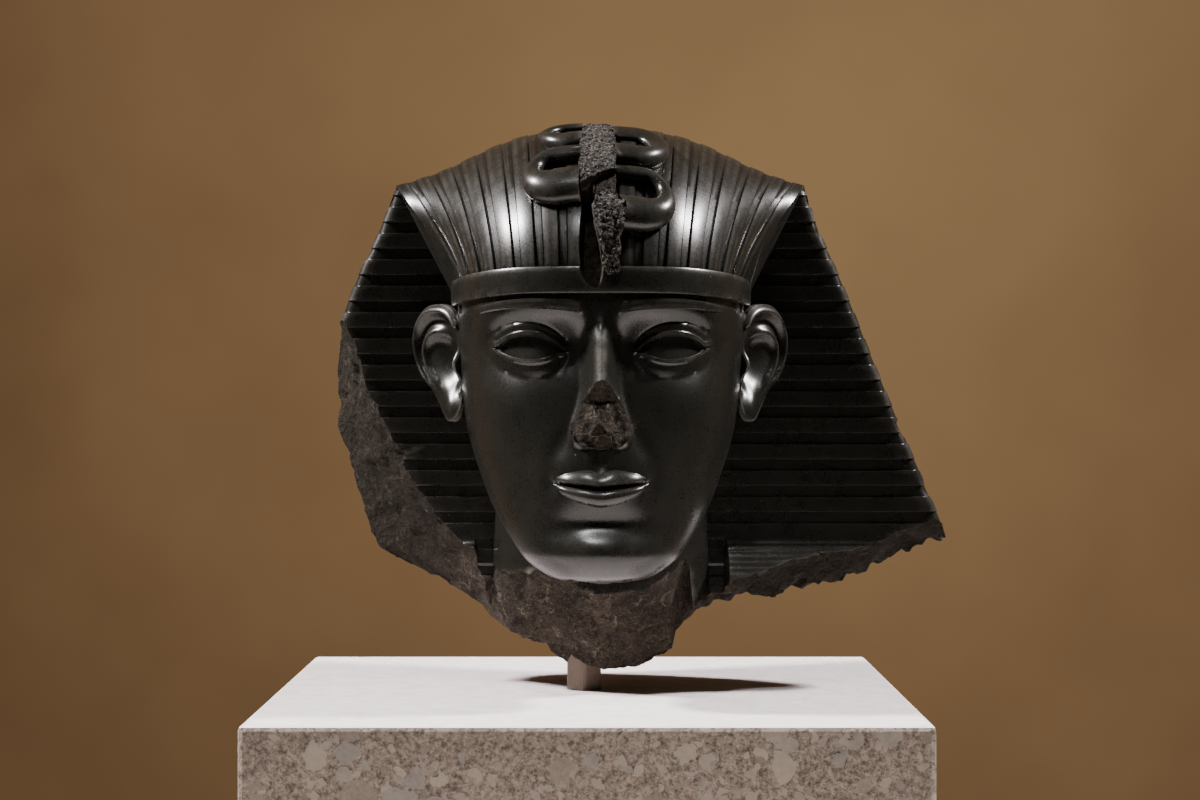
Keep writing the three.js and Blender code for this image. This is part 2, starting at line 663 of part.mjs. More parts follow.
/** The rough stub of the serpent's hood, narrower below. */
function serpentStubBody() {
  const { lengths, left, right, proudBelow, proudAbove, topDrop, dropFrom } = serpentStub;
  const sides = (length) => [along(lengths, left, length), along(lengths, right, length)];
  const proud = (length) => mix(proudBelow, proudAbove, smooth(...serpentStub.rise, length));
  const drop = (length) => topDrop * smooth(dropFrom, lengths.at(-1), length);
  return roughBar(lengths, sides, (length) => proud(length) - drop(length));
}

/** The ends of the coils, lost behind the stub and the strip. */
function serpentRecessBody() {
  const { lengths, inset, stubTop, gap, stripFoot, underStrip } = serpentRecess;
  const { floor, floorDrop, dropFrom, dropTo } = serpentRecess;
  return closedSolid(4, lengths.length, (column, row) => {
    const length = lengths[row];
    const overStub = smooth(...stubTop, length);
    const overFoot = smooth(...stripFoot, length);
    const onLeft = column === 0 || column === 3;
    const besideStub = along(serpentStub.lengths, onLeft ? serpentStub.left : serpentStub.right, length);
    const inStub = besideStub + (onLeft ? inset : -inset);
    const index = onLeft ? 0 : 1;
    const x = mix(inStub, mix(gap[index], underStrip[index], overFoot), overStub);
    const depth = floor - floorDrop * smooth(dropFrom, dropTo, length);
    return onDome(x, length, column < 2 ? clearOfCoils : depth);
  });
}

/** Everything on the far side of a wavy face: used to take broken stone away. */
function breakBody(columns, rows, facePoint, away) {
  const ring = columns * 2;
  return closedSolid(ring, rows, (column, row) => {
    if (column < columns) return facePoint(column, row);
    return facePoint(ring - 1 - column, row).add(away);
  });
}

/** Stone lost from the left wing. */
function leftWingLoss() {
  const backFrom = breakDepths[2];
  return breakBody(breakDepths.length, 17, (column, row) => {
    const y = breakDepths[column];
    const z = mix(-70, 140, row / 16);
    const front = along(breakHeights, breakFront, z);
    const back = along(breakHeights, breakBack, z);
    const share = Math.min(1, (y - wing.face) / (backFrom - wing.face));
    const x = mix(front, back, share) + breakBehind * Math.max(0, y - backFrom) + 1.6 * rough(0, y, z, 6);
    return new THREE.Vector3(Math.min(x, -20), y, z);
  }, new THREE.Vector3(-220, 0, 0));
}

/** Stone lost below the chin and under the right lappet. */
function lowerLoss() {
  const across = [...lowerX, ...lowerBetween].sort((a, b) => a - b);
  return breakBody(across.length, lowerDepths.length, (column, row) => {
    const x = across[column];
    const y = lowerDepths[row];
    const edge = along(lowerX, lowerZ, x);
    const bulge = Math.sqrt(1 - Math.min(0.93, (x / neck.halfWidth) ** 2));
    const inThroat = smooth(throat.left - throat.blend, throat.left + throat.blend, x)
      * (1 - smooth(throat.right, throat.right + throat.blend, x));
    const start = neck.y - throat.depth * neck.halfDepth * bulge;
    const climb = Math.max(0, start - y) * throat.rise / (0.3 + 0.7 * bulge);
    const highest = Math.max(edge, throat.top + throat.rightRise * smooth(18, 40, x));
    const outwards = smooth(underLappet.inside, underLappet.outside, x);
    const steepness = mix(underLappet.riseInside, underLappet.riseOutside, outwards);
    const forwards = x > 0 ? Math.max(0, underLappet.depth - y) * steepness : 0;
    const behind = underLappet.backRise * Math.max(0, y - 18 * smooth(30, 60, x));
    const z = mix(edge + forwards, Math.min(edge + climb, highest), inThroat) + behind;
    return new THREE.Vector3(x, y, z + 1.5 * rough(x, y, 0, 5));
  }, new THREE.Vector3(0, 0, -160));
}

/** Stone lost from the lower half of the nose: planes that fall away from a ridge. */
function noseLoss() {
  const { z: middle, halfWidth, halfHeight, depth } = noseBreak;
  return breakBody(9, 9, (column, row) => {
    const x = mix(halfWidth, -halfWidth, column / 8);
    const z = mix(middle - halfHeight, middle + halfHeight, row / 8);
    const sides = Math.min(depth + noseBreak.left * (x + 2), depth - noseBreak.right * (x - 1));
    const under = depth - noseBreak.below * (noseBreak.lower - z);
    const over = noseBreak.above * Math.max(0, z - noseBreak.upper);
    const edge = noseBreak.rim * smooth(0.8, 1, Math.hypot(x / halfWidth, (z - middle) / halfHeight));
    return new THREE.Vector3(x, -(Math.min(sides, under) + over + edge + 0.5 * rough(x, 0, z, 3)), z);
  }, new THREE.Vector3(0, -60, 0));
}

/** Hollow beside the stub of the serpent, pointed below. */
function serpentHollowBody() {
  const { lengths, left, right, depth } = serpentHollow;
  return closedSolid(4, lengths.length, (column, row) => {
    const x = column === 0 || column === 3 ? left[row] : right[row];
    return onDome(x, lengths[row], column < 2 ? clearOfCoils : -depth);
  });
}

/** Square bar with rounded corners, standing upright. */
function barGeometry(side, corner, length) {
  return new RoundedBoxGeometry(side, side, length, 1, corner);
}

/** The carved stone, joined from its forms and cut by its breaks. */
function headGeometry() {
  let body = headBody();
  body = body.add(neckBody());
  body = body.add(wingBody());
  body = body.add(domeBody());
  body = body.add(bandBody());
  body = body.add(earBody(1));
  body = body.add(earBody(-1));
  for (const loop of coils) body = body.add(coilBody(loop));
  body = body.subtract(serpentRecessBody());
  body = body.subtract(serpentHollowBody());
  body = body.add(serpentStripBody());
  body = body.add(serpentStubBody());
  body = body.subtract(noseLoss());
  body = body.subtract(leftWingLoss());
  body = body.subtract(lowerLoss());
  const socketTop = post.top + clearance - stone.chinHeight;
  const socket = barGeometry(post.side + 2 * clearance, post.corner + clearance, 120);
  socket.rotateZ(post.turn * degrees);
  socket.translate(post.x - stone.x, post.y, socketTop - 60);
  body = body.subtract(solid(socket));
  return toGeometry(outerSkin(body));
}

/** The block, with fine arrises and a socket for the post. */
function plinthGeometry() {
  const { width, depth, height, arris } = plinth;
  const block = new RoundedBoxGeometry(width, depth, height, 1, arris);
  block.translate(0, 0, height / 2);
  const socket = barGeometry(post.side + 2 * clearance, post.corner + clearance, 100);
  socket.rotateZ(post.turn * degrees);
  socket.translate(post.x, post.y, height - post.intoPlinth - clearance + 50);
  return toGeometry(solid(block).subtract(solid(socket)));
}

/** The post, standing in the block. */
function postGeometry() {
  const length = post.top - (plinth.height - post.intoPlinth);
  const bar = barGeometry(post.side, post.corner, length);
  bar.rotateZ(post.turn * degrees);
  bar.translate(0, 0, length / 2);
  return bar;
}

/** A named piece with its own material. */
function piece(name, geometry, color, roughness, metalness) {
  const mesh = new THREE.Mesh(geometry, new THREE.MeshStandardMaterial({ color, roughness, metalness }));
  mesh.name = name;
  return mesh;
}

const head = piece('head', headGeometry(), 0x33312e, 0.38, 0);
head.position.set(stone.x, 0, stone.chinHeight);

const support = piece('post', postGeometry(), 0x4f453b, 0.5, 0.6);
support.position.set(post.x, post.y, plinth.height - post.intoPlinth);

const block = piece('plinth', plinthGeometry(), 0xcfc6bd, 0.85, 0);

const sculpture = new THREE.Group();
sculpture.add(block, support, head);

export default sculpture;
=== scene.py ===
"""Royal head in a pleated headcloth: dark polished stone, broken, on a metal post in a stone block."""

import math

import bmesh
import bpy
import numpy as np
from mathutils import Matrix, Vector, noise


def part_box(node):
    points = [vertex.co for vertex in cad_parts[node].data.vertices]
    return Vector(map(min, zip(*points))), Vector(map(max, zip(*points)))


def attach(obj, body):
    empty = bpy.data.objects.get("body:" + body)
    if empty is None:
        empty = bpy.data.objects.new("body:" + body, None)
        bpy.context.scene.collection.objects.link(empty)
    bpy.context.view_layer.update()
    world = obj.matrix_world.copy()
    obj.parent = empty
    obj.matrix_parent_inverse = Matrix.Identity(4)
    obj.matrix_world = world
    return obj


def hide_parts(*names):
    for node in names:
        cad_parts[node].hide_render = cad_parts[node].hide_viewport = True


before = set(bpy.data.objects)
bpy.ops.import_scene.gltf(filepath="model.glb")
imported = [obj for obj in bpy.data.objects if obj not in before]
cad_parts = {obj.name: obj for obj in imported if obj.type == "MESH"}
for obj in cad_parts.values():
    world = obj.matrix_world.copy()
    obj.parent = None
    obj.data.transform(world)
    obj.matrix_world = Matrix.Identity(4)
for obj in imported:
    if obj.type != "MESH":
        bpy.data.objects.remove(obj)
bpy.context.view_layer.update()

MM = 0.001
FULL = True

# Place of the stone: its middle plane, and the height of the underside of its chin, in millimetres.
# All lengths below are millimetres in the stone's own frame: z up from the chin, -y forward.
STONE_X = 5.6
CHIN_HEIGHT = 176.0

UNIT = 57.0
MOUTH = 0.68 * UNIT
NOSE_BASE = UNIT
EYES = 1.68 * UNIT
BROWS = 2 * UNIT
EYE_OFFSET = 30.5
EYE_HALF_WIDTH = 13.5
MOUTH_HALF_WIDTH = 20.0
NOSE_HALF_WIDTH = 13.0

# Half width, front, widest depth and rear of the head at heights above the chin
HEAD_HEIGHTS = [-3, -1.5, 1, 5, 12, 23, 39, 57, 78, 100, 118, 135, 150]
HEAD_HALF_WIDTH = [10, 18, 24.5, 30.5, 36.5, 44, 51.5, 57.5, 61.5, 63, 63.5, 62, 56]
HEAD_FRONT = [84, 90, 94.3, 97.6, 99.3, 97.8, 98.8, 98.4, 97, 98.5, 102.5, 100, 88]
HEAD_WIDEST = [76, 74, 71, 67, 60, 49, 37, 30, 27, 26, 26, 26, 26]
HEAD_REAR = [66, 60, 55, 47, 36, 18, 0, -12, -16, -18, -18, -18, -18]
HEAD_ROUNDNESS = 2.45

NECK_HALF_WIDTH = 50.5
NECK_HALF_DEPTH = 42.0
NECK_Y = -5.0

BAND_PROUD = 2.6
BAND_TOP = 130.0
BAND_BOTTOM = 118.9
BAND_DROP = 3.3
TEMPLE_DEPTH = 56.0

PLEAT_STEP = 0.9
PLEAT_EDGE = 0.36
LINE_DEPTH = 0.32
LINE_WIDTH = 0.42
STRIPE_CROWN = 0.08
DOME_PERIOD = 10.3
DOME_RAISED = 6.0
DOME_STRIPES = 8
WING_PERIOD = 11.8
WING_RAISED = 6.3
WING_FIRST = 13.0

CROWN_REACH = [0, 27, 52, 67, 80, 91]
CROWN_HEIGHTS = [197, 195.2, 187.2, 179.8, 174.4, 170.6]
CROWN_DEPTH = -5.0
PEAK_DEPTH = -17.0
PEAK_HALF_WIDTH = 91.0
CROWN_SPREAD = 1.17
DOME_LENGTH = 130.0
BACK_HEIGHT = 105.0
BACK_OVERLAP = 1.5

WING_TOP = 169.2
WING_PEAK_HALF_WIDTH = 90.3
WING_PEAK_HEIGHT = 173.0
WING_SPREAD = 0.33
WING_FLARE = 0.095
WING_FLARE_DROP = 25.0
WING_FACE = -18.0
EDGE_THICKNESS = 30.0
PEAK_THICKNESS = 7.0
THIN_FROM = 128.0
EDGE_ROUND = 4.0
WING_BOTTOM = -62.0
LAPPET_TOP = 13.0
LAPPET_EDGE = 56.0
LAPPET_FORWARD = 26.0
LAPPET_FALL = 24.0
LAPPET_PERIOD = 2.4
LAPPET_STEP = 0.6
BACK_HEIGHTS = [-62, 0, 60, 100, 112, 135, 170]
BACK_DEPTHS = [54, 62, 82, 96, 92, 52, 0]
BACK_HOLLOW = [1.35, 1.25, 1, 0.78, 0.75, 0.7, 0.7]
BOW_HEIGHT = 132.0
BOW_REACH = 34.0
LEFT_BOW = 0.03
RIGHT_BOW = 0.011

EAR_X = 61.5
EAR_Y = -47.0
EAR_Z = 91.0
EAR_LENGTH = 52.0
EAR_WIDTH = 34.0
EAR_TURN = math.radians(41)
EAR_THICKNESS = 8.0
EAR_LEAN = 0.5

# Coils of the serpent: side, reach, droop, then length up the dome, half width and height of each run
COILS = [
    (-1, 24.5, 1.6, (107, 2.8, 2.9), (80.8, 5, 5.8)), (-1, 28.2, 0, (68.3, 4.4, 5.5), (45.5, 9, 9.2)),
    (1, 24.6, 2.4, (93, 6.4, 3.8), (66, 6, 7.2)), (1, 26.6, 0, (53.8, 3.7, 5), (29.8, 8.4, 8.8)),
]

# Outlines on the dome, each as lengths up from the headband with the places across at its left and right
HOLLOW_LENGTHS = [-5.9, -4.3, -1.3, 2.9, 11.7, 16.8, 21.9, 26, 31, 37.6, 46, 51]
HOLLOW_LEFT = [-2.3, -5, -7, -8.3, -9.1, -9.1, -8.8, -8.5, -8.2, -7.9, -7.5, -7.3]
HOLLOW_RIGHT = [-1.7, -0.8, 0, 0.4, -0.4, -1.2, -2.1, -3.1, -3.1, -2.9, -2.9, -2.9]
STUB_LENGTHS = [-0.6, 0.6, 2.9, 11.7, 16.8, 21.9, 26, 31, 36, 37.6]
STUB_LEFT = [3, 1.8, 0.9, 0.4, -0.4, -1.6, -3.1, -3.1, -2.1, -1.2]
STUB_RIGHT = [5.4, 7, 7.9, 7.5, 7.9, 8.6, 10.2, 10.8, 9, 6.7]
FOOT_X = [-8.3, -6, -1.2, 1.8, 4.2, 5.8]
FOOT_LENGTHS = [38.5, 42.5, 47, 46.5, 48.5, 50.5]

BREAK_HEIGHTS = [-60, -27, -8, 5, 15, 34, 65, 97, 119, 140]
BREAK_FRONT = [-30, -40, -52, -57, -65, -81, -98, -108, -115, -140]
BREAK_BACK = [-30, -50, -84, -99, -105, -113, -120.5, -121.5, -124, -150]
LOWER_X = [-200, -86, -75, -61, -47, -18, -8, 17, 25, 32.5, 34, 44, 53, 79, 95, 116, 132, 150, 200]
LOWER_Z = [40, -5, -7.5, -12.5, -25, -38, -43, -44, -40, -35, -28, -18.5, -13.5, -11.5, -8, -4, 4.5, 12, 26]

POLISHED = 0
BROKEN = 1
HACKLY = 2


def linear(hex_colour):
    """sRGB hex to the linear colour that a shader takes."""
    channels = [int(hex_colour[i:i + 2], 16) / 255 for i in (1, 3, 5)]
    return tuple(c / 12.92 if c <= 0.04045 else ((c + 0.055) / 1.055) ** 2.4 for c in channels) + (1.0,)


def add_node(tree, kind, links=None, **settings):
    """Adds a node with its settings and input values or links."""
    node = tree.nodes.new(kind)
    for name, value in settings.items():
        setattr(node, name, value)
    for socket, value in (links or {}).items():
        if isinstance(value, bpy.types.NodeSocket):
            tree.links.new(value, node.inputs[socket])
        else:
            node.inputs[socket].default_value = value
    return node


def start_material(name):
    """A new material, its node tree and its surface shader."""
    material = bpy.data.materials.new(name)
    material.use_nodes = True
    return material, material.node_tree, material.node_tree.nodes["Principled BSDF"]


def place_in_mm(tree):
    """Where a point is on its piece, in millimetres."""
    place = add_node(tree, "ShaderNodeTexCoord").outputs["Object"]
    return add_node(tree, "ShaderNodeVectorMath", {0: place, 1: (1000, 1000, 1000)}, operation="MULTIPLY").outputs[0]


def grain(tree, place, size, detail=4.0, rough=0.6):
    """Natural variation from 0 to 1, with its largest lumps of a size in millimetres."""
    links = {"Vector": place, "Scale": 1 / size, "Detail": detail, "Roughness": rough}
    return add_node(tree, "ShaderNodeTexNoise", links).outputs[0]


def ramp(tree, value, *stops):
    """Colours along a value, from pairs of position and sRGB hex."""
    node = add_node(tree, "ShaderNodeValToRGB", {"Fac": value})
    elements = node.color_ramp.elements
    for index, (position, colour) in enumerate(stops):
        element = elements[index] if index < 2 else elements.new(position)
        element.position = position
        element.color = linear(colour)
    return node.outputs["Color"]


def levels(tree, value, low, high, start=0.0, end=1.0):
    """Stretches the range from low to high over the range from start to end."""
    links = {"Value": value, "From Min": low, "From Max": high, "To Min": start, "To Max": end}
    return add_node(tree, "ShaderNodeMapRange", links, clamp=True).outputs["Result"]


def blend_colours(tree, share, first, second, kind="MIX"):
    node = add_node(tree, "ShaderNodeMix", data_type="RGBA", blend_type=kind)
    for socket, value in ((node.inputs[0], share), (node.inputs[6], first), (node.inputs[7], second)):
        if isinstance(value, bpy.types.NodeSocket):
            tree.links.new(value, socket)
        else:
            socket.default_value = value
    return node.outputs[2]


def polished_greywacke():
    """Greywacke rubbed smooth with sand: nearly black, fine-grained, with a soft sheen, dust in its pits, and edges
    paler from wear and from a painted highlight.
    """
    material, tree, shader = start_material("polished_greywacke")
    place = place_in_mm(tree)
    cloud = grain(tree, place, 34, 3)
    speck = grain(tree, place, 0.9, 3, 0.7)
    tone = ramp(tree, cloud, (0.3, "#141410"), (0.7, "#191814"))
    tone = blend_colours(tree, levels(tree, speck, 0.35, 0.75, 0, 0.4), tone, linear("#252420"))
    pits = add_node(tree, "ShaderNodeTexVoronoi", {"Vector": place, "Scale": 1 / 13, "Randomness": 1.0}).outputs["Distance"]
    pit = levels(tree, pits, 0.02, 0.036, 1, 0)
    tone = blend_colours(tree, pit, tone, linear("#5d5547"))
    worn = levels(tree, grain(tree, place, 7, 4, 0.7), 0.4, 0.62, 0.15, 1)
    # Edges paler where pointiness is high: partly real wear, partly a painted highlight along the carved edges.
    edge = levels(tree, add_node(tree, "ShaderNodeNewGeometry").outputs["Pointiness"], 0.51, 0.6, 0, 0.5)
    edge = add_node(tree, "ShaderNodeMath", {0: edge, 1: worn}, operation="MULTIPLY").outputs[0]
    tone = blend_colours(tree, edge, tone, linear("#7b766e"))
    tree.links.new(tone, shader.inputs["Base Color"])
    smear = grain(tree, place, 11, 4)
    streak = levels(tree, smear, 0.3, 0.7, 0.25, 0.31)
    speckle = levels(tree, speck, 0.3, 0.7, -0.03, 0.05)
    roughness = add_node(tree, "ShaderNodeMath", {0: streak, 1: speckle}).outputs[0]
    tree.links.new(roughness, shader.inputs["Roughness"])
    shader.inputs["IOR"].default_value = 1.5
    height = blend_colours(tree, 0.25, speck, smear)
    height = blend_colours(tree, pit, height, (0, 0, 0, 1))
    bump = add_node(tree, "ShaderNodeBump", {"Strength": 0.4, "Distance": 0.0001, "Height": height})
    tree.links.new(bump.outputs[0], shader.inputs["Normal"])
    return material


def broken_greywacke():
    """The same stone where it broke: matt brown-grey, dimpled, in flakes with pale edges; painted shade in its
    dimples, painted glints on its grains, and painted shade darkening it on the cloth.
    """
    material, tree, shader = start_material("broken_greywacke")
    place = place_in_mm(tree)
    stain = grain(tree, place, 16, 4)
    lump = grain(tree, place, 3.2, 6, 0.74)
    speck = grain(tree, place, 0.9, 2, 0.7)
    tone = ramp(tree, stain, (0.32, "#2e2822"), (0.5, "#3a332b"), (0.66, "#494137"))
    # Painted shade: darker where the relief is low, in its dimples.
    tone = blend_colours(tree, levels(tree, lump, 0.38, 0.55, 0, 1), linear("#221c16"), tone)
    bend = add_node(tree, "ShaderNodeTexNoise", {"Vector": place, "Scale": 1 / 7, "Detail": 3.0}).outputs["Color"]
    shifted = add_node(tree, "ShaderNodeVectorMath", {0: bend, 1: (10, 10, 10)}, operation="MULTIPLY").outputs[0]
    bent = add_node(tree, "ShaderNodeVectorMath", {0: place, 1: shifted}, operation="ADD").outputs[0]
    flakes = add_node(tree, "ShaderNodeTexVoronoi", {"Vector": bent, "Scale": 1 / 11}, feature="DISTANCE_TO_EDGE")
    flake_edge = levels(tree, flakes.outputs["Distance"], 0.008, 0.05, 0.5, 0)
    chipped = levels(tree, grain(tree, place, 8, 4, 0.7), 0.5, 0.62)
    flake_edge = add_node(tree, "ShaderNodeMath", {0: flake_edge, 1: chipped}, operation="MULTIPLY").outputs[0]
    tone = blend_colours(tree, flake_edge, tone, linear("#82796b"))
    # Painted glints: pale specks on the grains, where light would catch them.
    tone = blend_colours(tree, levels(tree, speck, 0.58, 0.7, 0, 0.4), tone, linear("#756c60"))
    # Painted shade: darker the farther from the middle, on the breaks of the cloth.
    across = add_node(tree, "ShaderNodeSeparateXYZ", {0: place}).outputs["X"]
    from_middle = add_node(tree, "ShaderNodeMath", {0: across}, operation="ABSOLUTE").outputs[0]
    tone = blend_colours(tree, levels(tree, from_middle, 44, 74, 0, 0.66), tone, linear("#15110b"))
    tree.links.new(tone, shader.inputs["Base Color"])
    tree.links.new(levels(tree, speck, 0.3, 0.7, 0.95, 0.7), shader.inputs["Roughness"])
    shader.inputs["Specular IOR Level"].default_value = 0.14
    chips = add_node(tree, "ShaderNodeTexVoronoi", {"Vector": place, "Scale": 1 / 2.6}).outputs["Distance"]
    height = blend_colours(tree, 0.35, lump, chips)
    height = blend_colours(tree, 0.15, height, speck)
    bump = add_node(tree, "ShaderNodeBump", {"Strength": 1.0, "Distance": 0.0034, "Height": height})
    tree.links.new(bump.outputs[0], shader.inputs["Normal"])
    return material


def hackly_greywacke():
    """The same stone knocked off grain by grain: sharp grey crumbs with painted glints, and painted shade blackening
    the pits between.
    """
    material, tree, shader = start_material("hackly_greywacke")
    place = place_in_mm(tree)
    stain = grain(tree, place, 16, 4)
    lump = grain(tree, place, 2.2, 5, 0.68)
    speck = grain(tree, place, 1.1, 2, 0.7)
    tone = ramp(tree, stain, (0.32, "#2f2b27"), (0.5, "#393530"), (0.66, "#443f39"))
    # Painted shade: near black in the low places of the relief, the pits.
    tone = blend_colours(tree, levels(tree, lump, 0.42, 0.6, 0, 1), linear("#0c0a08"), tone)
    # Painted glints: pale specks on the crumbs.
    tone = blend_colours(tree, levels(tree, speck, 0.54, 0.66, 0, 0.62), tone, linear("#7c766e"))
    tree.links.new(tone, shader.inputs["Base Color"])
    tree.links.new(levels(tree, speck, 0.3, 0.7, 0.95, 0.7), shader.inputs["Roughness"])
    shader.inputs["Specular IOR Level"].default_value = 0.2
    chips = add_node(tree, "ShaderNodeTexVoronoi", {"Vector": place, "Scale": 1 / 1.7}).outputs["Distance"]
    height = blend_colours(tree, 0.2, blend_colours(tree, 0.25, lump, chips), speck)
    bump = add_node(tree, "ShaderNodeBump", {"Strength": 1.0, "Distance": 0.0034, "Height": height})
    tree.links.new(bump.outputs[0], shader.inputs["Normal"])
    return material


def painted_steel():
    """Mild steel under thin brown paint: satin, faintly uneven from the brush, worn in patches."""
    material, tree, shader = start_material("painted_steel")
    place = place_in_mm(tree)
    streak = add_node(tree, "ShaderNodeVectorMath", {0: place, 1: (1, 1, 0.12)}, operation="MULTIPLY").outputs[0]
    brush = grain(tree, streak, 1.6, 3)
    wear = levels(tree, grain(tree, place, 5, 4), 0.6, 0.75)
    tone = blend_colours(tree, brush, linear("#665749"), linear("#7b6a5a"))
    tone = blend_colours(tree, wear, tone, linear("#8c7c6c"))
    tree.links.new(tone, shader.inputs["Base Color"])
    tree.links.new(levels(tree, brush, 0.3, 0.7, 0.42, 0.58), shader.inputs["Roughness"])
    bump = add_node(tree, "ShaderNodeBump", {"Strength": 0.4, "Distance": 0.00015, "Height": brush})
    tree.links.new(bump.outputs[0], shader.inputs["Normal"])
    return material


def sawn_conglomerate():
    """Conglomerate sawn and honed: rounded pebbles of many sizes in a pitted sandy paste, paler on its top from dust
    and from painted light.
    """
    material, tree, shader = start_material("sawn_conglomerate")
    place = place_in_mm(tree)
    bend = add_node(tree, "ShaderNodeTexNoise", {"Vector": place, "Scale": 1 / 6, "Detail": 3.0}).outputs["Color"]
    shifted = add_node(tree, "ShaderNodeVectorMath", {0: bend, 1: (8, 8, 8)}, operation="MULTIPLY").outputs[0]
    place_bent = add_node(tree, "ShaderNodeVectorMath", {0: place, 1: shifted}, operation="ADD").outputs[0]
    sand = grain(tree, place, 2.2, 4, 0.75)
    tone = blend_colours(tree, levels(tree, sand, 0.36, 0.64), linear("#584a40"), linear("#aa998b"))
    relief = sand
    for size, share in ((5, 0.35), (9, 0.45), (17, 0.5)):
        cells = add_node(tree, "ShaderNodeTexVoronoi", {"Vector": place_bent, "Scale": 1 / size, "Randomness": 0.9})
        pick = add_node(tree, "ShaderNodeSeparateColor", {0: cells.outputs["Color"]})
        reach = levels(tree, pick.outputs[0], share, 1, 0.2, 0.52)
        inwards = add_node(tree, "ShaderNodeMath", {0: reach, 1: cells.outputs["Distance"]}, operation="SUBTRACT").outputs[0]
        chosen = levels(tree, pick.outputs[0], share, share + 0.02)
        inside = levels(tree, inwards, 0, 0.03)
        pebble = add_node(tree, "ShaderNodeMath", {0: chosen, 1: inside}, operation="MULTIPLY").outputs[0]
        colour = ramp(tree, pick.outputs[1], (0.0, "#6f6359"), (0.4, "#8b7f76"), (0.7, "#9c8e81"), (1.0, "#7a7470"))
        colour = blend_colours(tree, levels(tree, sand, 0.3, 0.8, 0, 0.25), colour, linear("#b9aa99"))
        tone = blend_colours(tree, levels(tree, pebble, 0, 1, 0, 0.85), tone, colour)
        relief = blend_colours(tree, pebble, relief, (0.62, 0.62, 0.62, 1))
    # Upward faces paler: partly dust, partly painted light where the lamps fall on the top.
    facing = add_node(tree, "ShaderNodeSeparateXYZ", {0: add_node(tree, "ShaderNodeNewGeometry").outputs["Normal"]}).outputs["Z"]
    top = levels(tree, facing, 0.5, 0.95, 0, 0.85)
    top_dust_and_light = blend_colours(tree, levels(tree, grain(tree, place, 9, 5, 0.65), 0.3, 0.7), linear("#e6dbdb"), linear("#fbf4f4"))
    tone = blend_colours(tree, top, tone, top_dust_and_light)
    tree.links.new(tone, shader.inputs["Base Color"])
    tree.links.new(levels(tree, sand, 0.3, 0.7, 0.72, 0.9), shader.inputs["Roughness"])
    depth = levels(tree, facing, 0.5, 0.95, 1, 0.3)
    bump = add_node(tree, "ShaderNodeBump", {"Strength": depth, "Distance": 0.0022, "Height": relief})
    tree.links.new(bump.outputs[0], shader.inputs["Normal"])
    return material


def limewashed_board():
    """Matt painted board under the block: pale and almost even."""
    material, tree, shader = start_material("limewashed_board")
    place = place_in_mm(tree)
    tone = blend_colours(tree, grain(tree, place, 60, 4), linear("#d2ccc4"), linear("#dad5ce"))
    tree.links.new(tone, shader.inputs["Base Color"])
    shader.inputs["Roughness"].default_value = 0.9
    return material


POLISHED_STONE = polished_greywacke()
BROKEN_STONE = broken_greywacke()
HACKLY_STONE = hackly_greywacke()


def clamp(value):
    return np.clip(value, 0.0, 1.0)


def mix(start, end, share):
    return start + (end - start) * share


def bell(distance, width):
    return np.exp(-((distance / width) ** 2))


def power(value, exponent):
    return np.sign(value) * np.abs(value) ** exponent


def smooth(start, end, value):
    """Rises smoothly from 0 at one value to 1 at the other."""
    share = clamp((value - start) / (end - start))
    return share * share * (3 - 2 * share)


def curve_through(places, values):
    """A smooth curve through a short list of points, as a function of place."""
    x = np.asarray(places, float)
    y = np.asarray(values, float)
    gap = np.diff(x)
    slope = np.diff(y) / gap
    count = len(x)
    system = np.eye(count)
    right = np.zeros(count)
    for i in range(1, count - 1):
        system[i, i - 1] = gap[i - 1]
        system[i, i] = 2 * (gap[i - 1] + gap[i])
        system[i, i + 1] = gap[i]
        right[i] = 6 * (slope[i] - slope[i - 1])
    bend = np.linalg.solve(system, right)

    def value_at(place):
        place = np.clip(np.asarray(place, float), x[0], x[-1])
        i = np.clip(np.searchsorted(x, place) - 1, 0, count - 2)
        low = place - x[i]
        high = x[i + 1] - place
        cubic = (bend[i] * high ** 3 + bend[i + 1] * low ** 3) / (6 * gap[i])
        straight = (y[i] / gap[i] - bend[i] * gap[i] / 6) * high + (y[i + 1] / gap[i] - bend[i + 1] * gap[i] / 6) * low
        return cubic + straight

    return value_at


half_width_at = curve_through(HEAD_HEIGHTS, HEAD_HALF_WIDTH)
front_at = curve_through(HEAD_HEIGHTS, HEAD_FRONT)
widest_at = curve_through(HEAD_HEIGHTS, HEAD_WIDEST)
rear_at = curve_through(HEAD_HEIGHTS, HEAD_REAR)
crown_height_at = curve_through(CROWN_REACH, CROWN_HEIGHTS)
back_depth_at = curve_through(BACK_HEIGHTS, BACK_DEPTHS)
back_hollow_at = curve_through(BACK_HEIGHTS, BACK_HOLLOW)


def fractal(x, y, z, size, octaves=4, seed=0.0):
    """Repeatable natural roughness at places, about -1 to 1, with its largest lumps of the given size."""
    x, y, z = np.broadcast_arrays(x, y, z)
    shift = Vector((seed, seed * 1.7, -seed * 0.6))
    flat = zip(x.ravel() / size, y.ravel() / size, z.ravel() / size)
    values = [noise.fractal(Vector(point) + shift, 0.9, 2.1, octaves) for point in flat]
    return np.array(values).reshape(x.shape)


def facets(x, y, z, size, seed=0.0):
    """Broken planes: each lump of the given size has its own tilt and level."""
    x, y, z = np.broadcast_arrays(x, y, z)
    shift = Vector((seed, -seed, seed * 0.5))
    values = []
    for point in zip(x.ravel() / size, y.ravel() / size, z.ravel() / size):
        place = Vector(point) + shift
        centre = noise.voronoi(place)[1][0]
        tilt = noise.cell_vector(centre * 7.3) - Vector((0.5, 0.5, 0.5))
        values.append(tilt.dot(place - centre) * 1.6 + tilt.x * 0.5)
    return np.array(values).reshape(x.shape)


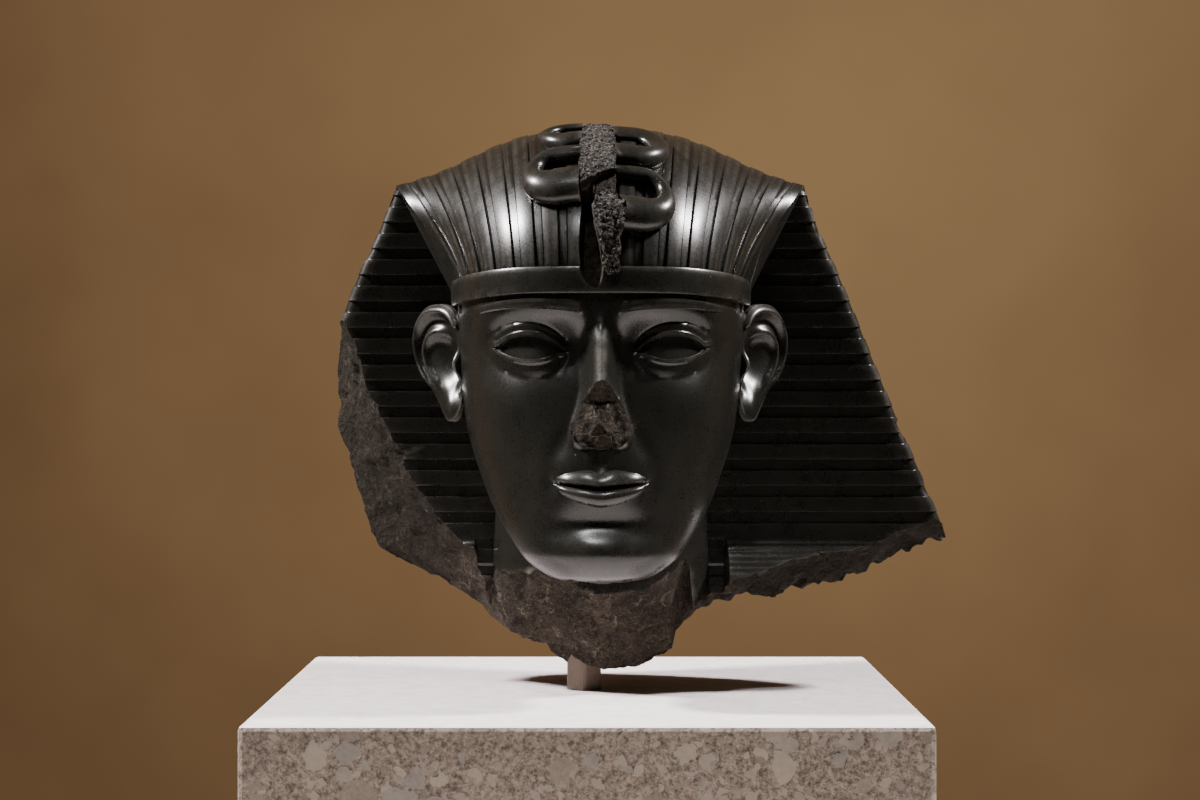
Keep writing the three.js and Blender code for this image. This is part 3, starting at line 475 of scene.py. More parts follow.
def build_mesh(name, points, faces, surface):
    """A mesh from points in millimetres of the stone's frame, with its faces turned outwards."""
    points = np.asarray(points, float)
    triangles = np.asarray(faces)
    a, b, c = (points[triangles[:, k]] for k in range(3))
    volume = np.einsum("ij,ij->i", a, np.cross(b, c)).sum()
    if volume < 0:
        triangles = triangles[:, ::-1]
    mesh = bpy.data.meshes.new(name)
    mesh.vertices.add(len(points))
    mesh.vertices.foreach_set("co", (points * MM).ravel())
    mesh.loops.add(triangles.size)
    mesh.loops.foreach_set("vertex_index", triangles.ravel().astype(np.int32))
    mesh.polygons.add(len(triangles))
    mesh.polygons.foreach_set("loop_start", np.arange(0, triangles.size, 3, dtype=np.int32))
    mesh.polygons.foreach_set("material_index", np.full(len(triangles), surface, np.int32))
    mesh.materials.append(POLISHED_STONE)
    mesh.materials.append(BROKEN_STONE)
    mesh.materials.append(HACKLY_STONE)
    mesh.update(calc_edges=True)
    mesh.validate()
    piece = bpy.data.objects.new(name, mesh)
    bpy.context.scene.collection.objects.link(piece)
    return piece


def bowed(x, z):
    """The cloth bows out a little between its peaks and its foot, more so on the left."""
    outside = smooth(64, 84, np.abs(x)) * bell(z - BOW_HEIGHT, BOW_REACH)
    return x * (1 + np.where(x < 0, LEFT_BOW, RIGHT_BOW) * outside)


def closed_form(name, x, y, z, surface=POLISHED):
    """A closed form from a grid: columns close on themselves, and a middle point shuts the first and last rows."""
    rows, columns = x.shape
    grid = np.stack([bowed(x, z), y, z], axis=-1)
    points = np.concatenate([grid.reshape(-1, 3), grid[0].mean(axis=0)[None], grid[-1].mean(axis=0)[None]])
    row, column = np.meshgrid(np.arange(rows - 1), np.arange(columns), indexing="ij")
    following = (column + 1) % columns
    a = (row * columns + column).ravel()
    b = (row * columns + following).ravel()
    c = ((row + 1) * columns + following).ravel()
    d = ((row + 1) * columns + column).ravel()
    side = np.concatenate([np.stack([a, b, c], 1), np.stack([a, c, d], 1)])
    ring = np.arange(columns)
    after = (ring + 1) % columns
    first = np.stack([np.full(columns, rows * columns), after, ring], 1)
    last_row = (rows - 1) * columns
    last = np.stack([np.full(columns, rows * columns + 1), last_row + ring, last_row + after], 1)
    return build_mesh(name, points, np.concatenate([side, first, last]), surface)


def join(base, form, operation="UNION"):
    """Joins a form to the stone, or cuts it away, and uses the form up."""
    change = base.modifiers.new("join", "BOOLEAN")
    change.operation = operation
    change.object = form
    change.solver = "MANIFOLD"
    graph = bpy.context.evaluated_depsgraph_get()
    result = bpy.data.meshes.new_from_object(base.evaluated_get(graph))
    base.modifiers.clear()
    used = [base.data, form.data]
    base.data = result
    bpy.data.objects.remove(form)
    for mesh in used:
        bpy.data.meshes.remove(mesh)


def spaced(*runs):
    """Places along a line from runs of (start, end, spacing), for a grid that is finer where the carving is."""
    values = []
    for start, end, step in runs:
        count = max(1, round(abs(end - start) / step))
        values.extend(np.linspace(start, end, count, endpoint=False))
    values.append(runs[-1][1])
    return np.array(values)


def head_outline(z, angle, offset=0.0):
    """Outline of the head at heights, at angles from the middle of the front."""
    half_width = half_width_at(z) + offset
    front = front_at(z) + offset
    widest = widest_at(z)
    rear = rear_at(z)
    across = power(np.sin(angle), 2 / HEAD_ROUNDNESS)
    ahead = power(np.cos(angle), 2 / HEAD_ROUNDNESS)
    depth = np.where(ahead >= 0, widest + (front - widest) * ahead, widest + (widest - rear) * ahead)
    return half_width * across, depth


def step_at(distance, width=0.22):
    """A crisp carved step: 0 before the line, 1 after it."""
    return smooth(-width, width, distance)


def upper_lid_height(x):
    across = (np.abs(x) - EYE_OFFSET) / EYE_HALF_WIDTH
    return EYES + 0.9 * across + 0.4 + 5.3 * clamp(1 - (across + 0.06) ** 2) ** 0.8


def lower_lid_height(x):
    across = (np.abs(x) - EYE_OFFSET) / EYE_HALF_WIDTH
    return EYES + 0.9 * across - 0.4 - 3.9 * clamp(1 - (across - 0.06) ** 2) ** 0.9


def brow_height(x):
    reach = np.minimum(np.abs(x), 56)
    return BROWS - 2.2 + 3.2 * (1 - ((reach - 29) / 26) ** 2)


def brow_half_height(x):
    return mix(2.1, 1.3, smooth(26, 54, np.abs(x)))


def lip_fullness(x):
    return clamp(1 - (np.abs(x) / MOUTH_HALF_WIDTH) ** 2)


def lip_seam_height(x):
    across = clamp(np.abs(x) / MOUTH_HALF_WIDTH)
    return MOUTH + 1.5 * across ** 2.4 - 0.7 * bell(x, 4.5)


def upper_lip_height(x):
    return lip_seam_height(x) + 0.5 + 6.4 * lip_fullness(x) ** 0.72 - 1.3 * bell(x, 3)


def lower_lip_height(x):
    return lip_seam_height(x) - 0.5 - 7.6 * lip_fullness(x) ** 0.66


def nose_relief(x, z):
    """Straight nose: a rounded ridge that widens to its wings and sinks into the brow."""
    share = clamp((z - NOSE_BASE) / (BROWS - NOSE_BASE))
    height = mix(25, 4.0, share ** 0.9) * smooth(NOSE_BASE - 3.5, NOSE_BASE + 5, z)
    half_width = mix(NOSE_HALF_WIDTH + 1.5, 9.5, smooth(0, 0.42, share))
    fade = 1 - smooth(EYES + 2, BROWS + 5, z)
    side = clamp(np.abs(x) / half_width)
    ridge = (0.5 + 0.5 * np.cos(np.pi * side)) ** mix(0.8, 1.15, share)
    return height * fade * ridge


def eye_relief(x, z):
    """Socket, eyeball, lids with their rims, and the raised brow band."""
    reach = np.abs(x)
    across = (reach - EYE_OFFSET) / EYE_HALF_WIDTH
    up = z - EYES - 0.9 * across
    inner_socket = -4.6 * bell(reach - 16, 6.5) * bell(z - EYES - 2, 10)
    socket = -6.0 * bell(reach - 30, 17) * bell(z - EYES - 3, 11.5) + inner_socket
    ball = 5.0 * clamp(1 - (across * 0.78) ** 2 - (up / 11.5) ** 2) ** 0.85
    above = z - upper_lid_height(x)
    below = lower_lid_height(x) - z
    in_width = 1 - smooth(1.0, 1.3, np.abs(across))
    opening = step_at(-above) * step_at(-below) * (1 - smooth(0.95, 1.1, np.abs(across)))
    upper_rim = (1.1 * step_at(above) * (1 - smooth(1.9, 2.6, above)) + 0.7 * step_at(above) * (1 - smooth(5, 6.4, above))) * in_width
    lower_rim = 0.9 * step_at(below) * (1 - smooth(1.3, 2.6, below)) * in_width
    in_brow = smooth(7, 9.5, reach) * (1 - smooth(50, 55, reach))
    ridge = 2.6 * bell(z - brow_height(x) + 3, 8) * smooth(2, 10, reach) * (1 - smooth(46, 58, reach))
    thin = brow_half_height(x)
    in_band = step_at(thin - np.abs(z - brow_height(x)), 0.3)
    brow = 1.0 * in_band * in_brow
    return socket + ball - 0.5 * opening + upper_rim + lower_rim + ridge + brow


def mouth_relief(x, z):
    """Lips with their edges, the groove above, the crease below, chin, cheeks and jaw."""
    reach = np.abs(x)
    full = lip_fullness(x)
    up = z - lip_seam_height(x)
    upper_share = clamp(up / (upper_lip_height(x) - lip_seam_height(x)))
    lower_share = clamp(-up / (lip_seam_height(x) - lower_lip_height(x)))
    in_lips = 1 - smooth(0.86, 1.06, reach / MOUTH_HALF_WIDTH)
    in_upper = step_at(upper_lip_height(x) - z, 0.3) * (up >= 0) * in_lips
    in_lower = step_at(z - lower_lip_height(x), 0.3) * (up < 0) * in_lips
    upper_lip = in_upper * (0.45 + 3.3 * full ** 0.6 * np.cos(0.5 * np.pi * upper_share) ** 0.8)
    lower_lip = in_lower * (0.4 + 4.0 * full ** 0.6 * np.sin(np.pi * clamp(0.2 + 0.78 * (1 - lower_share))) ** 0.9)
    mound = 3.2 * bell(x, 27) * bell(z - MOUTH - 3, 18)
    seam = -2.6 * bell(up, 0.8) * (1 - smooth(0.82, 1.06, reach / MOUTH_HALF_WIDTH))
    groove = -1.3 * bell(x, 2.8) * smooth(MOUTH + 4, MOUTH + 9, z) * (1 - smooth(54, 58, z))
    corner = -1.9 * bell(reach - MOUTH_HALF_WIDTH - 0.5, 4.2) * bell(z - MOUTH - 1.2, 5.5)
    crease = -2.7 * bell(x, 19) * bell(z - 22.5 + 0.006 * x ** 2, 5.5)
    chin = 2.6 * bell(x, 17) * bell(z - 11, 9.5)
    cheek = 2.8 * bell(reach - 40, 16) * bell(z - 73, 15)
    hollow = -2.0 * bell(reach - 37, 13) * bell(z - 44, 15)
    fold = -1.1 * bell(reach - 16 - 0.5 * (58 - z), 4.5) * bell(z - 54, 9)
    return mound + upper_lip + lower_lip + seam + groove + corner + crease + chin + cheek + hollow + fold


def face_lines(x):
    """Heights of the lines that the rows of the face's mesh follow, so that each carved edge stays crisp."""
    flat = 0 * x
    seam = lip_seam_height(x)
    upper_lid = upper_lid_height(x)
    lower_lid = lower_lid_height(x)
    brow = brow_height(x)
    thin = brow_half_height(x)
    rim = 2.4 - 0.6 * smooth(14, 22, np.abs(np.abs(x) - EYE_OFFSET))
    lines = np.stack([
        flat - 3, flat + 12, lower_lip_height(x) - 0.3, lower_lip_height(x) + 0.3, seam - 0.8, seam, seam + 0.8,
        upper_lip_height(x) - 0.3, upper_lip_height(x) + 0.3, flat + NOSE_BASE, flat + 70,
        lower_lid - rim - 0.4, lower_lid - 0.22, lower_lid + 0.22, upper_lid - 0.22, upper_lid + 0.22,
        upper_lid + rim, upper_lid + 6.6, brow - thin - 0.3, brow - thin + 0.3,
        brow + thin - 0.3, brow + thin + 0.3, flat + 122, flat + 148,
    ])
    for below, line in zip(lines, lines[1:]):
        np.maximum(line, below + 0.2, out=line)
    return lines


# Rows of the face's mesh between each of its lines and the next
FACE_ROWS = [12, 13, 1, 8, 3, 3, 7, 1, 12, 12, 15, 4, 1, 9, 1, 4, 6, 7, 1, 4, 1, 4, 6]


def head_form():
    """Head without its cloth: the face in front, plain behind."""
    fine = 1.0 if FULL else 2.2
    half = spaced((0, 14, 0.64 * fine), (14, 41, 0.48 * fine), (41, 90, 1.2 * fine), (90, 178, 12))
    angle = np.radians(np.concatenate([-half[:0:-1], half]))
    lines = face_lines(head_outline(np.full(angle.shape, 90.0), angle)[0])
    for _ in range(4):
        x = head_outline(lines, angle[None, :])[0]
        lines = np.stack([face_lines(row)[index] for index, row in enumerate(x)])
    rows = []
    for index, count in enumerate(FACE_ROWS):
        for part in range(count):
            rows.append(mix(lines[index], lines[index + 1], part / count))
    z = np.stack(rows + [lines[-1]])
    x, depth = head_outline(z, angle[None, :] + 0 * z)
    facing = smooth(5, 45, depth)
    relief = (nose_relief(x, z) + eye_relief(x, z) + mouth_relief(x, z)) * facing
    return closed_form("head_form", x, -(depth + relief), z)


def neck_form():
    angle, z = np.meshgrid(np.linspace(0, 2 * np.pi, 120, endpoint=False), spaced((-60, 60, 2)))
    half_width = NECK_HALF_WIDTH - 0.07 * np.minimum(0, z) - 3 * smooth(0, 60, z)
    return closed_form("neck", half_width * np.cos(angle), NECK_Y + NECK_HALF_DEPTH * np.sin(angle), z)


# Length along the brow from its middle, for placing the pleats
BROW_END = math.acos(((TEMPLE_DEPTH - 26) / (102.5 + 1 - 26)) ** (HEAD_ROUNDNESS / 2))
BROW_ANGLES = np.linspace(0, BROW_END, 400)
BROW_X, BROW_DEPTH = head_outline(np.full(400, 124.0), BROW_ANGLES, 1)
BROW_LENGTHS = np.concatenate([[0], np.cumsum(np.hypot(np.diff(BROW_X), np.diff(BROW_DEPTH)))])
BROW_LENGTH = BROW_LENGTHS[-1]


def dome_surface(share, rise):
    """Places on the dome: share across from the middle (-1 to 1), rise (0 brow, 1 crown, 2 back)."""
    share, rise = np.broadcast_arrays(np.asarray(share, float), np.asarray(rise, float))
    reach = np.abs(share)
    angle = np.interp(reach * BROW_LENGTH, BROW_LENGTHS, BROW_ANGLES)
    brow_x, brow_depth = head_outline(np.full(share.shape, 124.0), angle, 1)
    brow_z = BAND_TOP - 3 - BAND_DROP * reach ** 2
    rim_spread = PEAK_HALF_WIDTH / BROW_X[-1] - CROWN_SPREAD
    crown_x = brow_x * (CROWN_SPREAD + rim_spread * reach ** 2)
    crown_z = crown_height_at(crown_x)
    crown_y = mix(CROWN_DEPTH, PEAK_DEPTH, reach ** 2)
    quarter = np.pi / 2
    front = np.clip(rise, 0, 1) * quarter
    roundness = mix(2, 1.18, reach ** 1.5)
    up = np.sin(front) ** (2 / roundness)
    back = 1 - np.cos(front) ** (2 / roundness)
    front_x = mix(brow_x, crown_x, up ** 1.3)
    front_y = mix(-brow_depth, crown_y, back)
    front_z = mix(brow_z, crown_z, up)
    rear = np.clip(rise - 1, 0, 1) * quarter
    down = 1 - np.cos(rear)
    rear_z = mix(crown_z, BACK_HEIGHT, down)
    end_x = mix(crown_x * 0.9, wing_half_width(BACK_HEIGHT), reach ** 2.2)
    end_y = wing_back(end_x, BACK_HEIGHT) + BACK_OVERLAP
    to_wing = reach ** 8 * smooth(1, 1.3, rise)
    rear_x = mix(mix(crown_x, end_x, down), wing_half_width(rear_z), to_wing)
    in_front = rise <= 1
    x = np.where(in_front, front_x, rear_x) * np.where(share < 0, -1, 1)
    y = np.where(in_front, front_y, mix(crown_y, end_y, np.sin(rear)))
    z = np.where(in_front, front_z, rear_z)
    return np.stack([x, y, z], axis=-1)


def dome_outward(share, rise):
    """Outward directions of the dome's surface."""
    step = 0.004
    share, rise = np.broadcast_arrays(np.asarray(share, float), np.asarray(rise, float))
    across = dome_surface(np.clip(share + step, -1, 1), rise) - dome_surface(np.clip(share - step, -1, 1), rise)
    along = dome_surface(share, np.clip(rise + step, 0, 2)) - dome_surface(share, np.clip(rise - step, 0, 2))
    outward = np.cross(across, along)
    return outward / np.maximum(np.linalg.norm(outward, axis=-1, keepdims=True), 1e-9)


def stripe_levels(length, period, raised, step, edge):
    """Level of the cloth at lengths across its stripes: raised stripes with sharp edges, sunk between."""
    from_middle = np.abs((length + period / 2) % period - period / 2)
    rise = 1 - smooth(raised / 2, raised / 2 + edge, from_middle)
    crown = STRIPE_CROWN * clamp(1 - (from_middle / (raised / 2)) ** 2)
    line = LINE_DEPTH * clamp(1 - np.abs(from_middle - raised / 2 - edge) / LINE_WIDTH)
    return -step + (step + crown) * rise - line


def dome_lengths():
    """Places across the dome, closer at the edges of the stripes."""
    values = []
    for index in range(DOME_STRIPES + 1):
        middle = index * DOME_PERIOD
        edge = DOME_RAISED / 2
        foot = edge + PLEAT_EDGE
        right = np.array([edge * 0.6, edge, foot, foot + LINE_WIDTH, DOME_PERIOD / 2])
        values.extend(middle + np.concatenate([-right[:-1], [0], right]))
    values = np.array(sorted(v for v in values if 0 <= v < BROW_LENGTH - 0.7))
    return np.concatenate([values, [BROW_LENGTH - 0.35, BROW_LENGTH]])


def dome_form():
    """Dome of the cloth from the headband over the crown to the back, with its rim down to the temples."""
    half = dome_lengths()
    lengths = np.concatenate([-half[:0:-1], half])
    step = 0.0125 if FULL else 0.03
    rises = np.concatenate([np.arange(0, 1, step), np.arange(1, 2.0001, step * 1.9)])
    share, rise = np.meshgrid(lengths / BROW_LENGTH, rises)
    level = stripe_levels(share * BROW_LENGTH, DOME_PERIOD, DOME_RAISED, PLEAT_STEP, PLEAT_EDGE)
    level = level * (1 - smooth(BROW_LENGTH - 1.5, BROW_LENGTH - 0.3, np.abs(share) * BROW_LENGTH))
    level = level * mix(1, 0.45, smooth(0.25, 1, rise))
    outer = dome_surface(share, rise) + level[..., None] * dome_outward(share, rise)
    rim = dome_surface(1.0, rises)
    wall_x, _ = head_outline(118.0, BROW_END, 0.4)
    inner_x = np.minimum(wall_x, rim[:, 0])
    inner_z = np.minimum(112, rim[:, 2] - 10)
    right = np.stack([inner_x, rim[:, 1], inner_z], axis=-1)[:, None]
    left = right * np.array([-1, 1, 1])
    grid = np.concatenate([outer, right, left], axis=1)
    return closed_form("dome", grid[..., 0], grid[..., 1], grid[..., 2])


def wing_half_width(z):
    drop = WING_PEAK_HEIGHT - z
    return WING_PEAK_HALF_WIDTH + WING_SPREAD * drop + WING_FLARE * np.maximum(0, drop - WING_FLARE_DROP)


def wing_thickness(z):
    return mix(EDGE_THICKNESS, PEAK_THICKNESS, smooth(THIN_FROM, WING_TOP, z))


def wing_front(x, z):
    forward = LAPPET_FORWARD * smooth(0, LAPPET_FALL, LAPPET_TOP - z)
    return WING_FACE - forward * smooth(LAPPET_EDGE - 1, LAPPET_EDGE + 1, np.abs(x))


def wing_back(x, z):
    share = clamp(np.abs(x) / wing_half_width(z))
    edge = WING_FACE + wing_thickness(z)
    return edge + (back_depth_at(z) - edge) * (1 - share ** 2) ** back_hollow_at(z)


def wing_heights():
    values = []
    start = WING_FIRST - 2 * WING_PERIOD
    while start < WING_TOP:
        raised = [0, 0.35, WING_RAISED * 0.33, WING_RAISED * 0.66, WING_RAISED - 0.35, WING_RAISED]
        sunk = [WING_RAISED + PLEAT_EDGE, (WING_RAISED + WING_PERIOD) / 2, WING_PERIOD - PLEAT_EDGE]
        values.extend(start + np.array(raised + sunk))
        start += WING_PERIOD
    above = [v for v in values if LAPPET_TOP <= v < WING_TOP]
    start = LAPPET_TOP - 11 * LAPPET_PERIOD
    fine = start + np.arange(0, 11 * LAPPET_PERIOD - 0.01, LAPPET_PERIOD / 4)
    below = list(np.linspace(WING_BOTTOM, start, 12, endpoint=False))
    return np.array(below + list(fine) + above)


def wing_form():
    """Wings and back of the cloth, ring by ring from the bottom up."""
    z = wing_heights()[:, None]
    from_middle = np.abs((z - WING_FIRST - WING_RAISED / 2 + WING_PERIOD / 2) % WING_PERIOD - WING_PERIOD / 2)
    sunk = PLEAT_STEP * smooth(WING_RAISED / 2, WING_RAISED / 2 + PLEAT_EDGE, from_middle)
    sunk = sunk * (z > WING_FIRST - 2 * WING_PERIOD)
    width = wing_half_width(z) - 0.4 * sunk
    inner = np.array([0, 30, 50, 54, 55, 55.6, 56.4, 57, 58])
    outer = np.linspace(0, 1, 16)[1:]
    front_x = np.concatenate([inner + 0 * z, mix(58, width - EDGE_ROUND, outer)], axis=1)
    fine = LAPPET_STEP * (0.5 - 0.5 * np.cos(2 * np.pi * (LAPPET_TOP - z) / LAPPET_PERIOD)) * smooth(-1, -4, z - LAPPET_TOP)
    on_lappet = (front_x > LAPPET_EDGE) * (z < LAPPET_TOP)
    front_y = wing_front(front_x, z) + np.where(on_lappet, fine, sunk)
    face = wing_front(width, z) + np.where(z < LAPPET_TOP, fine, sunk)
    rear = WING_FACE + np.maximum(2 * EDGE_ROUND, wing_thickness(z)) - sunk
    turn = np.radians(np.array([25, 50, 75]))
    corner_x = width - EDGE_ROUND + EDGE_ROUND * np.sin(turn)
    corner_y = face + EDGE_ROUND - EDGE_ROUND * np.cos(turn)
    side_y = mix(face + EDGE_ROUND, rear - EDGE_ROUND, np.linspace(0, 1, 6))
    side_x = width + 0 * side_y
    share = 1 - np.linspace(0.03, 1, 30) ** 1.25
    back_x = width * share
    back_y = wing_back(back_x, z) - sunk
    ring_x = np.concatenate([front_x, corner_x, side_x, back_x], axis=1)
    ring_y = np.concatenate([front_y, corner_y, side_y, back_y], axis=1)
    x = np.concatenate([ring_x, -ring_x[:, -2:0:-1]], axis=1)
    y = np.concatenate([ring_y, ring_y[:, -2:0:-1]], axis=1)
    knocks = 2.2 * smooth(0.25, 0.8, fractal(np.sign(x) * 40, y, z, 12, 3, 2.7)) * smooth(0.94, 1, np.abs(x) / width)
    return closed_form("wings", x - np.sign(x) * knocks, y, z + 0 * x)


def band_form():
    """Headband: a slab a little wider than the brow, with a soft outer edge."""
    front = np.linspace(-84, 84, 150)
    degrees = np.concatenate([front, np.linspace(96, 264, 12)])
    levels = np.array([0, 0.25, 0.8, 0.5, 0.5, 0.5, 0.8, 0.25, 0])
    heights = np.array([BAND_BOTTOM, BAND_BOTTOM + 0.15, BAND_BOTTOM + 0.8, 121.5, 124.5, 127.5, BAND_TOP - 0.8, BAND_TOP - 0.15, BAND_TOP])
    proud = BAND_PROUD + np.array([-0.8, -0.35, 0, 0.1, 0.15, 0.1, 0, -0.35, -0.8])
    angle, height = np.meshgrid(np.radians(degrees), heights)
    x, depth = head_outline(np.full(angle.shape, 124.0), angle, proud[:, None])
    reach = clamp((100 - depth) / (100 - TEMPLE_DEPTH))
    return closed_form("headband", x, -depth, height - BAND_DROP * reach)


def ear_relief(u, v, share):
    """Rim, inner fold, hollow, front flap and lobe of the ear."""
    rim = 3.4 * bell(share - 0.88, 0.1) * smooth(-0.62, -0.2, v) * (1 - 0.6 * bell(u + 0.9, 0.35) * (v < 0.6))
    fold = 2.6 * bell(share - 0.58 + 0.12 * v, 0.11) * smooth(-0.55, -0.15, v) * smooth(-0.5, 0.0, u)
    bowl = -5.4 * bell(np.hypot(u + 0.26, (v - 0.02) * 0.8), 0.4)
    canal = -2.6 * bell(np.hypot(u + 0.46, v + 0.02), 0.18)
    flap = 4.2 * bell(np.hypot((u + 0.8) * 0.9, v + 0.06), 0.19)
    notch = -1.8 * bell(np.hypot(u + 0.42, v + 0.34), 0.13)
    lobe = 3.0 * bell(np.hypot(u + 0.12, (v + 0.72) * 0.9), 0.3)
    return rim + fold + bowl + canal + flap + notch + lobe


def ear_form(side):
    """Ear: a plate of ear outline, turned outwards from the cheek."""
    count = 104 if FULL else 48
    front = spaced((0.03, 0.4, 0.06), (0.4, 0.99, 0.028))
    back = np.linspace(0.995, 0.3, 10)
    share, angle = np.meshgrid(np.concatenate([front, back]), side * np.linspace(0, 2 * np.pi, count, endpoint=False))
    share, angle = share.T, angle.T
    taper = 1 - 0.38 * smooth(0.5, -0.7, np.sin(angle)) + 0.04 * np.sin(angle)
    u = power(np.cos(angle), 0.84) * taper * share
    v = power(np.sin(angle), 0.88) * share
    behind = np.linspace(-1.2, -EAR_THICKNESS, 10)[:, None] + 0 * angle[-10:]
    outward = np.concatenate([ear_relief(u, v, share)[:-10], behind])
    across = (u + 0.82 - EAR_LEAN * smooth(0.2, -1, v)) * EAR_WIDTH / 2
    out = across * math.sin(EAR_TURN) + outward * math.cos(EAR_TURN)
    back_by = across * math.cos(EAR_TURN) - outward * math.sin(EAR_TURN)
    return closed_form("ear", side * (EAR_X + out), EAR_Y + back_by, EAR_Z + v * EAR_LENGTH / 2)


def on_dome(x, length, lift):
    """Places on the dome at distances across and lengths up from the headband, lifted off its surface."""
    rise = np.maximum(0, length / DOME_LENGTH)
    spread = mix(1, CROWN_SPREAD, np.sin(np.minimum(1, rise) * np.pi / 2) ** 1.3)
    share = x / (BROW_LENGTH * spread)
    places = dome_surface(share, rise) + np.asarray(lift)[..., None] * dome_outward(share, rise)
    places[..., 2] += np.minimum(0, length)
    return places


def form_on_dome(name, x, length, lift, surface=POLISHED):
    places = on_dome(x, length, lift)
    return closed_form(name, places[..., 0], places[..., 1], places[..., 2], surface)


def coil_form(side, reach, droop, upper, lower):
    """One loop of the serpent's body, out from the middle strip and back, thicker towards its head."""
    middle = (upper[0] + lower[0]) / 2
    half = (upper[0] - lower[0]) / 2
    bend = reach - min(half, 10)
    run = np.linspace(-4, bend, 12)
    turn = np.radians(np.linspace(84, -84, 27))
    x = np.concatenate([run, bend + (reach - bend) * np.cos(turn), run[::-1]])[:, None]
    length = np.concatenate([np.full(12, upper[0]), middle + half * np.sin(turn), np.full(12, lower[0])])[:, None]
    length = length - droop * (np.maximum(0, x) / reach) ** 2
    out_x = np.concatenate([np.zeros(12), np.cos(turn), np.zeros(12)])[:, None]
    out_length = np.concatenate([np.ones(12), np.sin(turn), -np.ones(12)])[:, None]
    share = smooth(0.38, 0.7, np.linspace(0, 1, len(x)))[:, None]
    half_width = mix(upper[1], lower[1], share) * (1 - 0.3 * out_x)
    height = mix(upper[2], lower[2], share)
    angle = np.linspace(0, 2 * np.pi, 30, endpoint=False)[None, :]
    outward = np.maximum(half_width * np.cos(angle), 1 - half)
    lift = height * (0.3 + 0.7 * np.sin(angle))
    return form_on_dome("coil", side * (x + out_x * outward), length + out_length * outward, lift)


def rough_bar(name, lengths, left, right, proud, depth, seed):
    """A bar of broken stone that follows the dome, with a granular face."""
    across = np.linspace(0, 1, 26)[None, :]
    length = lengths[:, None] + 0 * across
    x = mix(left[:, None], right[:, None], across)
    grain = fractal(x, length, 0 * x, 2.6, 4, seed) + 0.6 * facets(x, length, 0 * x, 2.2, seed)
    edge = 1 - clamp(np.abs(across - 0.5) * 2) ** 6
    lift = np.reshape(proud, (-1, 1)) + depth * grain - 0.9 * (1 - edge)
    under_x = np.stack([right, left], axis=1)
    under_length = lengths[:, None] + np.zeros((1, 2))
    x = np.concatenate([x, under_x], axis=1)
    length = np.concatenate([length, under_length], axis=1)
    lift = np.concatenate([lift, np.full(under_x.shape, -6.0)], axis=1)
    return form_on_dome(name, x, length, lift, HACKLY)


def serpent_strip():
    """Broken face of the strip down the middle, where the serpent's body once rose."""
    lengths = spaced((30.5, 110, 0.6))
    left = -8.3 + 0.35 * np.sin(lengths / 3)
    right = 5.8 + 0.35 * np.sin(lengths / 2.3)
    proud = mix(9.6, 1.9, smooth(40, 108, lengths)) - 3 * bell(lengths - 106, 2.2)
    strip = rough_bar("serpent_strip", lengths, left, right, proud, 0.8, 3.1)
    x = np.array([-11, -8.3, -6, -3.2, -3.1, -1.2, 1.8, 4.2, 5.8, 9])
    foot = np.interp(x, FOOT_X, FOOT_LENGTHS)
    ring_x = np.concatenate([x, x[::-1]])
    length = np.stack([0 * ring_x + 22, np.concatenate([foot, foot[::-1]])])
    lift = np.stack([np.concatenate([0 * x + 16, np.where(x[::-1] < -3.15, -8, 4.2)])] * 2)
    cut = form_on_dome("slanted_foot", ring_x + 0 * length, length, lift, BROKEN)
    join(strip, cut, "DIFFERENCE")
    return strip


def serpent_recess():
    """Stone lost between the foot of the strip and the stub, and behind the stub."""
    lengths = spaced((4, 64, 2), (64, 112, 4))[:, None]
    low = np.interp(lengths, STUB_LENGTHS, STUB_LEFT) + 0.8
    high = np.interp(lengths, STUB_LENGTHS, STUB_RIGHT) - 0.8
    above = smooth(34, 38, lengths)
    left = mix(low, mix(-3.2, -8, smooth(46, 50, lengths)), above)
    right = mix(high, mix(6.2, 5.5, smooth(46, 50, lengths)), above)
    x = np.concatenate([left, right, right, (left + right) / 2, left], axis=1)
    lift = np.array([16, 16, 3.9, 3.6, 3.9]) - np.array([0, 0, 1, 1, 1]) * 3.4 * smooth(60, 108, lengths)
    return form_on_dome("serpent_recess", x, lengths + 0 * x, lift, HACKLY)


def serpent_stub():
    """Broken root of the serpent's head, in front of the lowest coil."""
    lengths = spaced((-0.6, 37.6, 0.5))
    left = np.interp(lengths, STUB_LENGTHS, STUB_LEFT) + 0.5 * np.sin(lengths / 1.3)
    right = np.interp(lengths, STUB_LENGTHS, STUB_RIGHT) + 0.5 * np.sin(lengths / 1.6 + 1)
    proud = mix(4.6, 8.2, smooth(-2, 22, lengths)) - 2.5 * smooth(30, 37.6, lengths)
    return rough_bar("serpent_stub", lengths, left, right, proud, 1.1, 8.2)


def serpent_hollow(widen, floor, surface):
    """Hollow beside the stub of the serpent, pointed below: its mouth wider than its floor."""
    lengths = spaced((-5.9, 51, 1.1))[:, None]
    left = np.interp(lengths, HOLLOW_LENGTHS, HOLLOW_LEFT)
    right = np.interp(lengths, HOLLOW_LENGTHS, HOLLOW_RIGHT)
    wider = widen * np.minimum(1, (right - left) / 3)
    x = np.concatenate([left - wider, right + wider, right + wider, right, right, left, left, left - wider], axis=1)
    lift = np.array([14, 14, 2.2, -0.6, floor, floor, -0.6, 2.2])
    return form_on_dome("serpent_hollow", x, lengths + 0 * x, lift + 0 * x, surface)


def loss(name, x, y, z, away):
    """A body of lost stone: a wavy face of rows and columns, and everything away from it."""
    far = np.array(away, float)
    near = np.stack([x, y, z], axis=-1)
    grid = np.concatenate([near, near[:, ::-1] + far], axis=1)
    return closed_form(name, grid[..., 0], grid[..., 1], grid[..., 2], BROKEN)


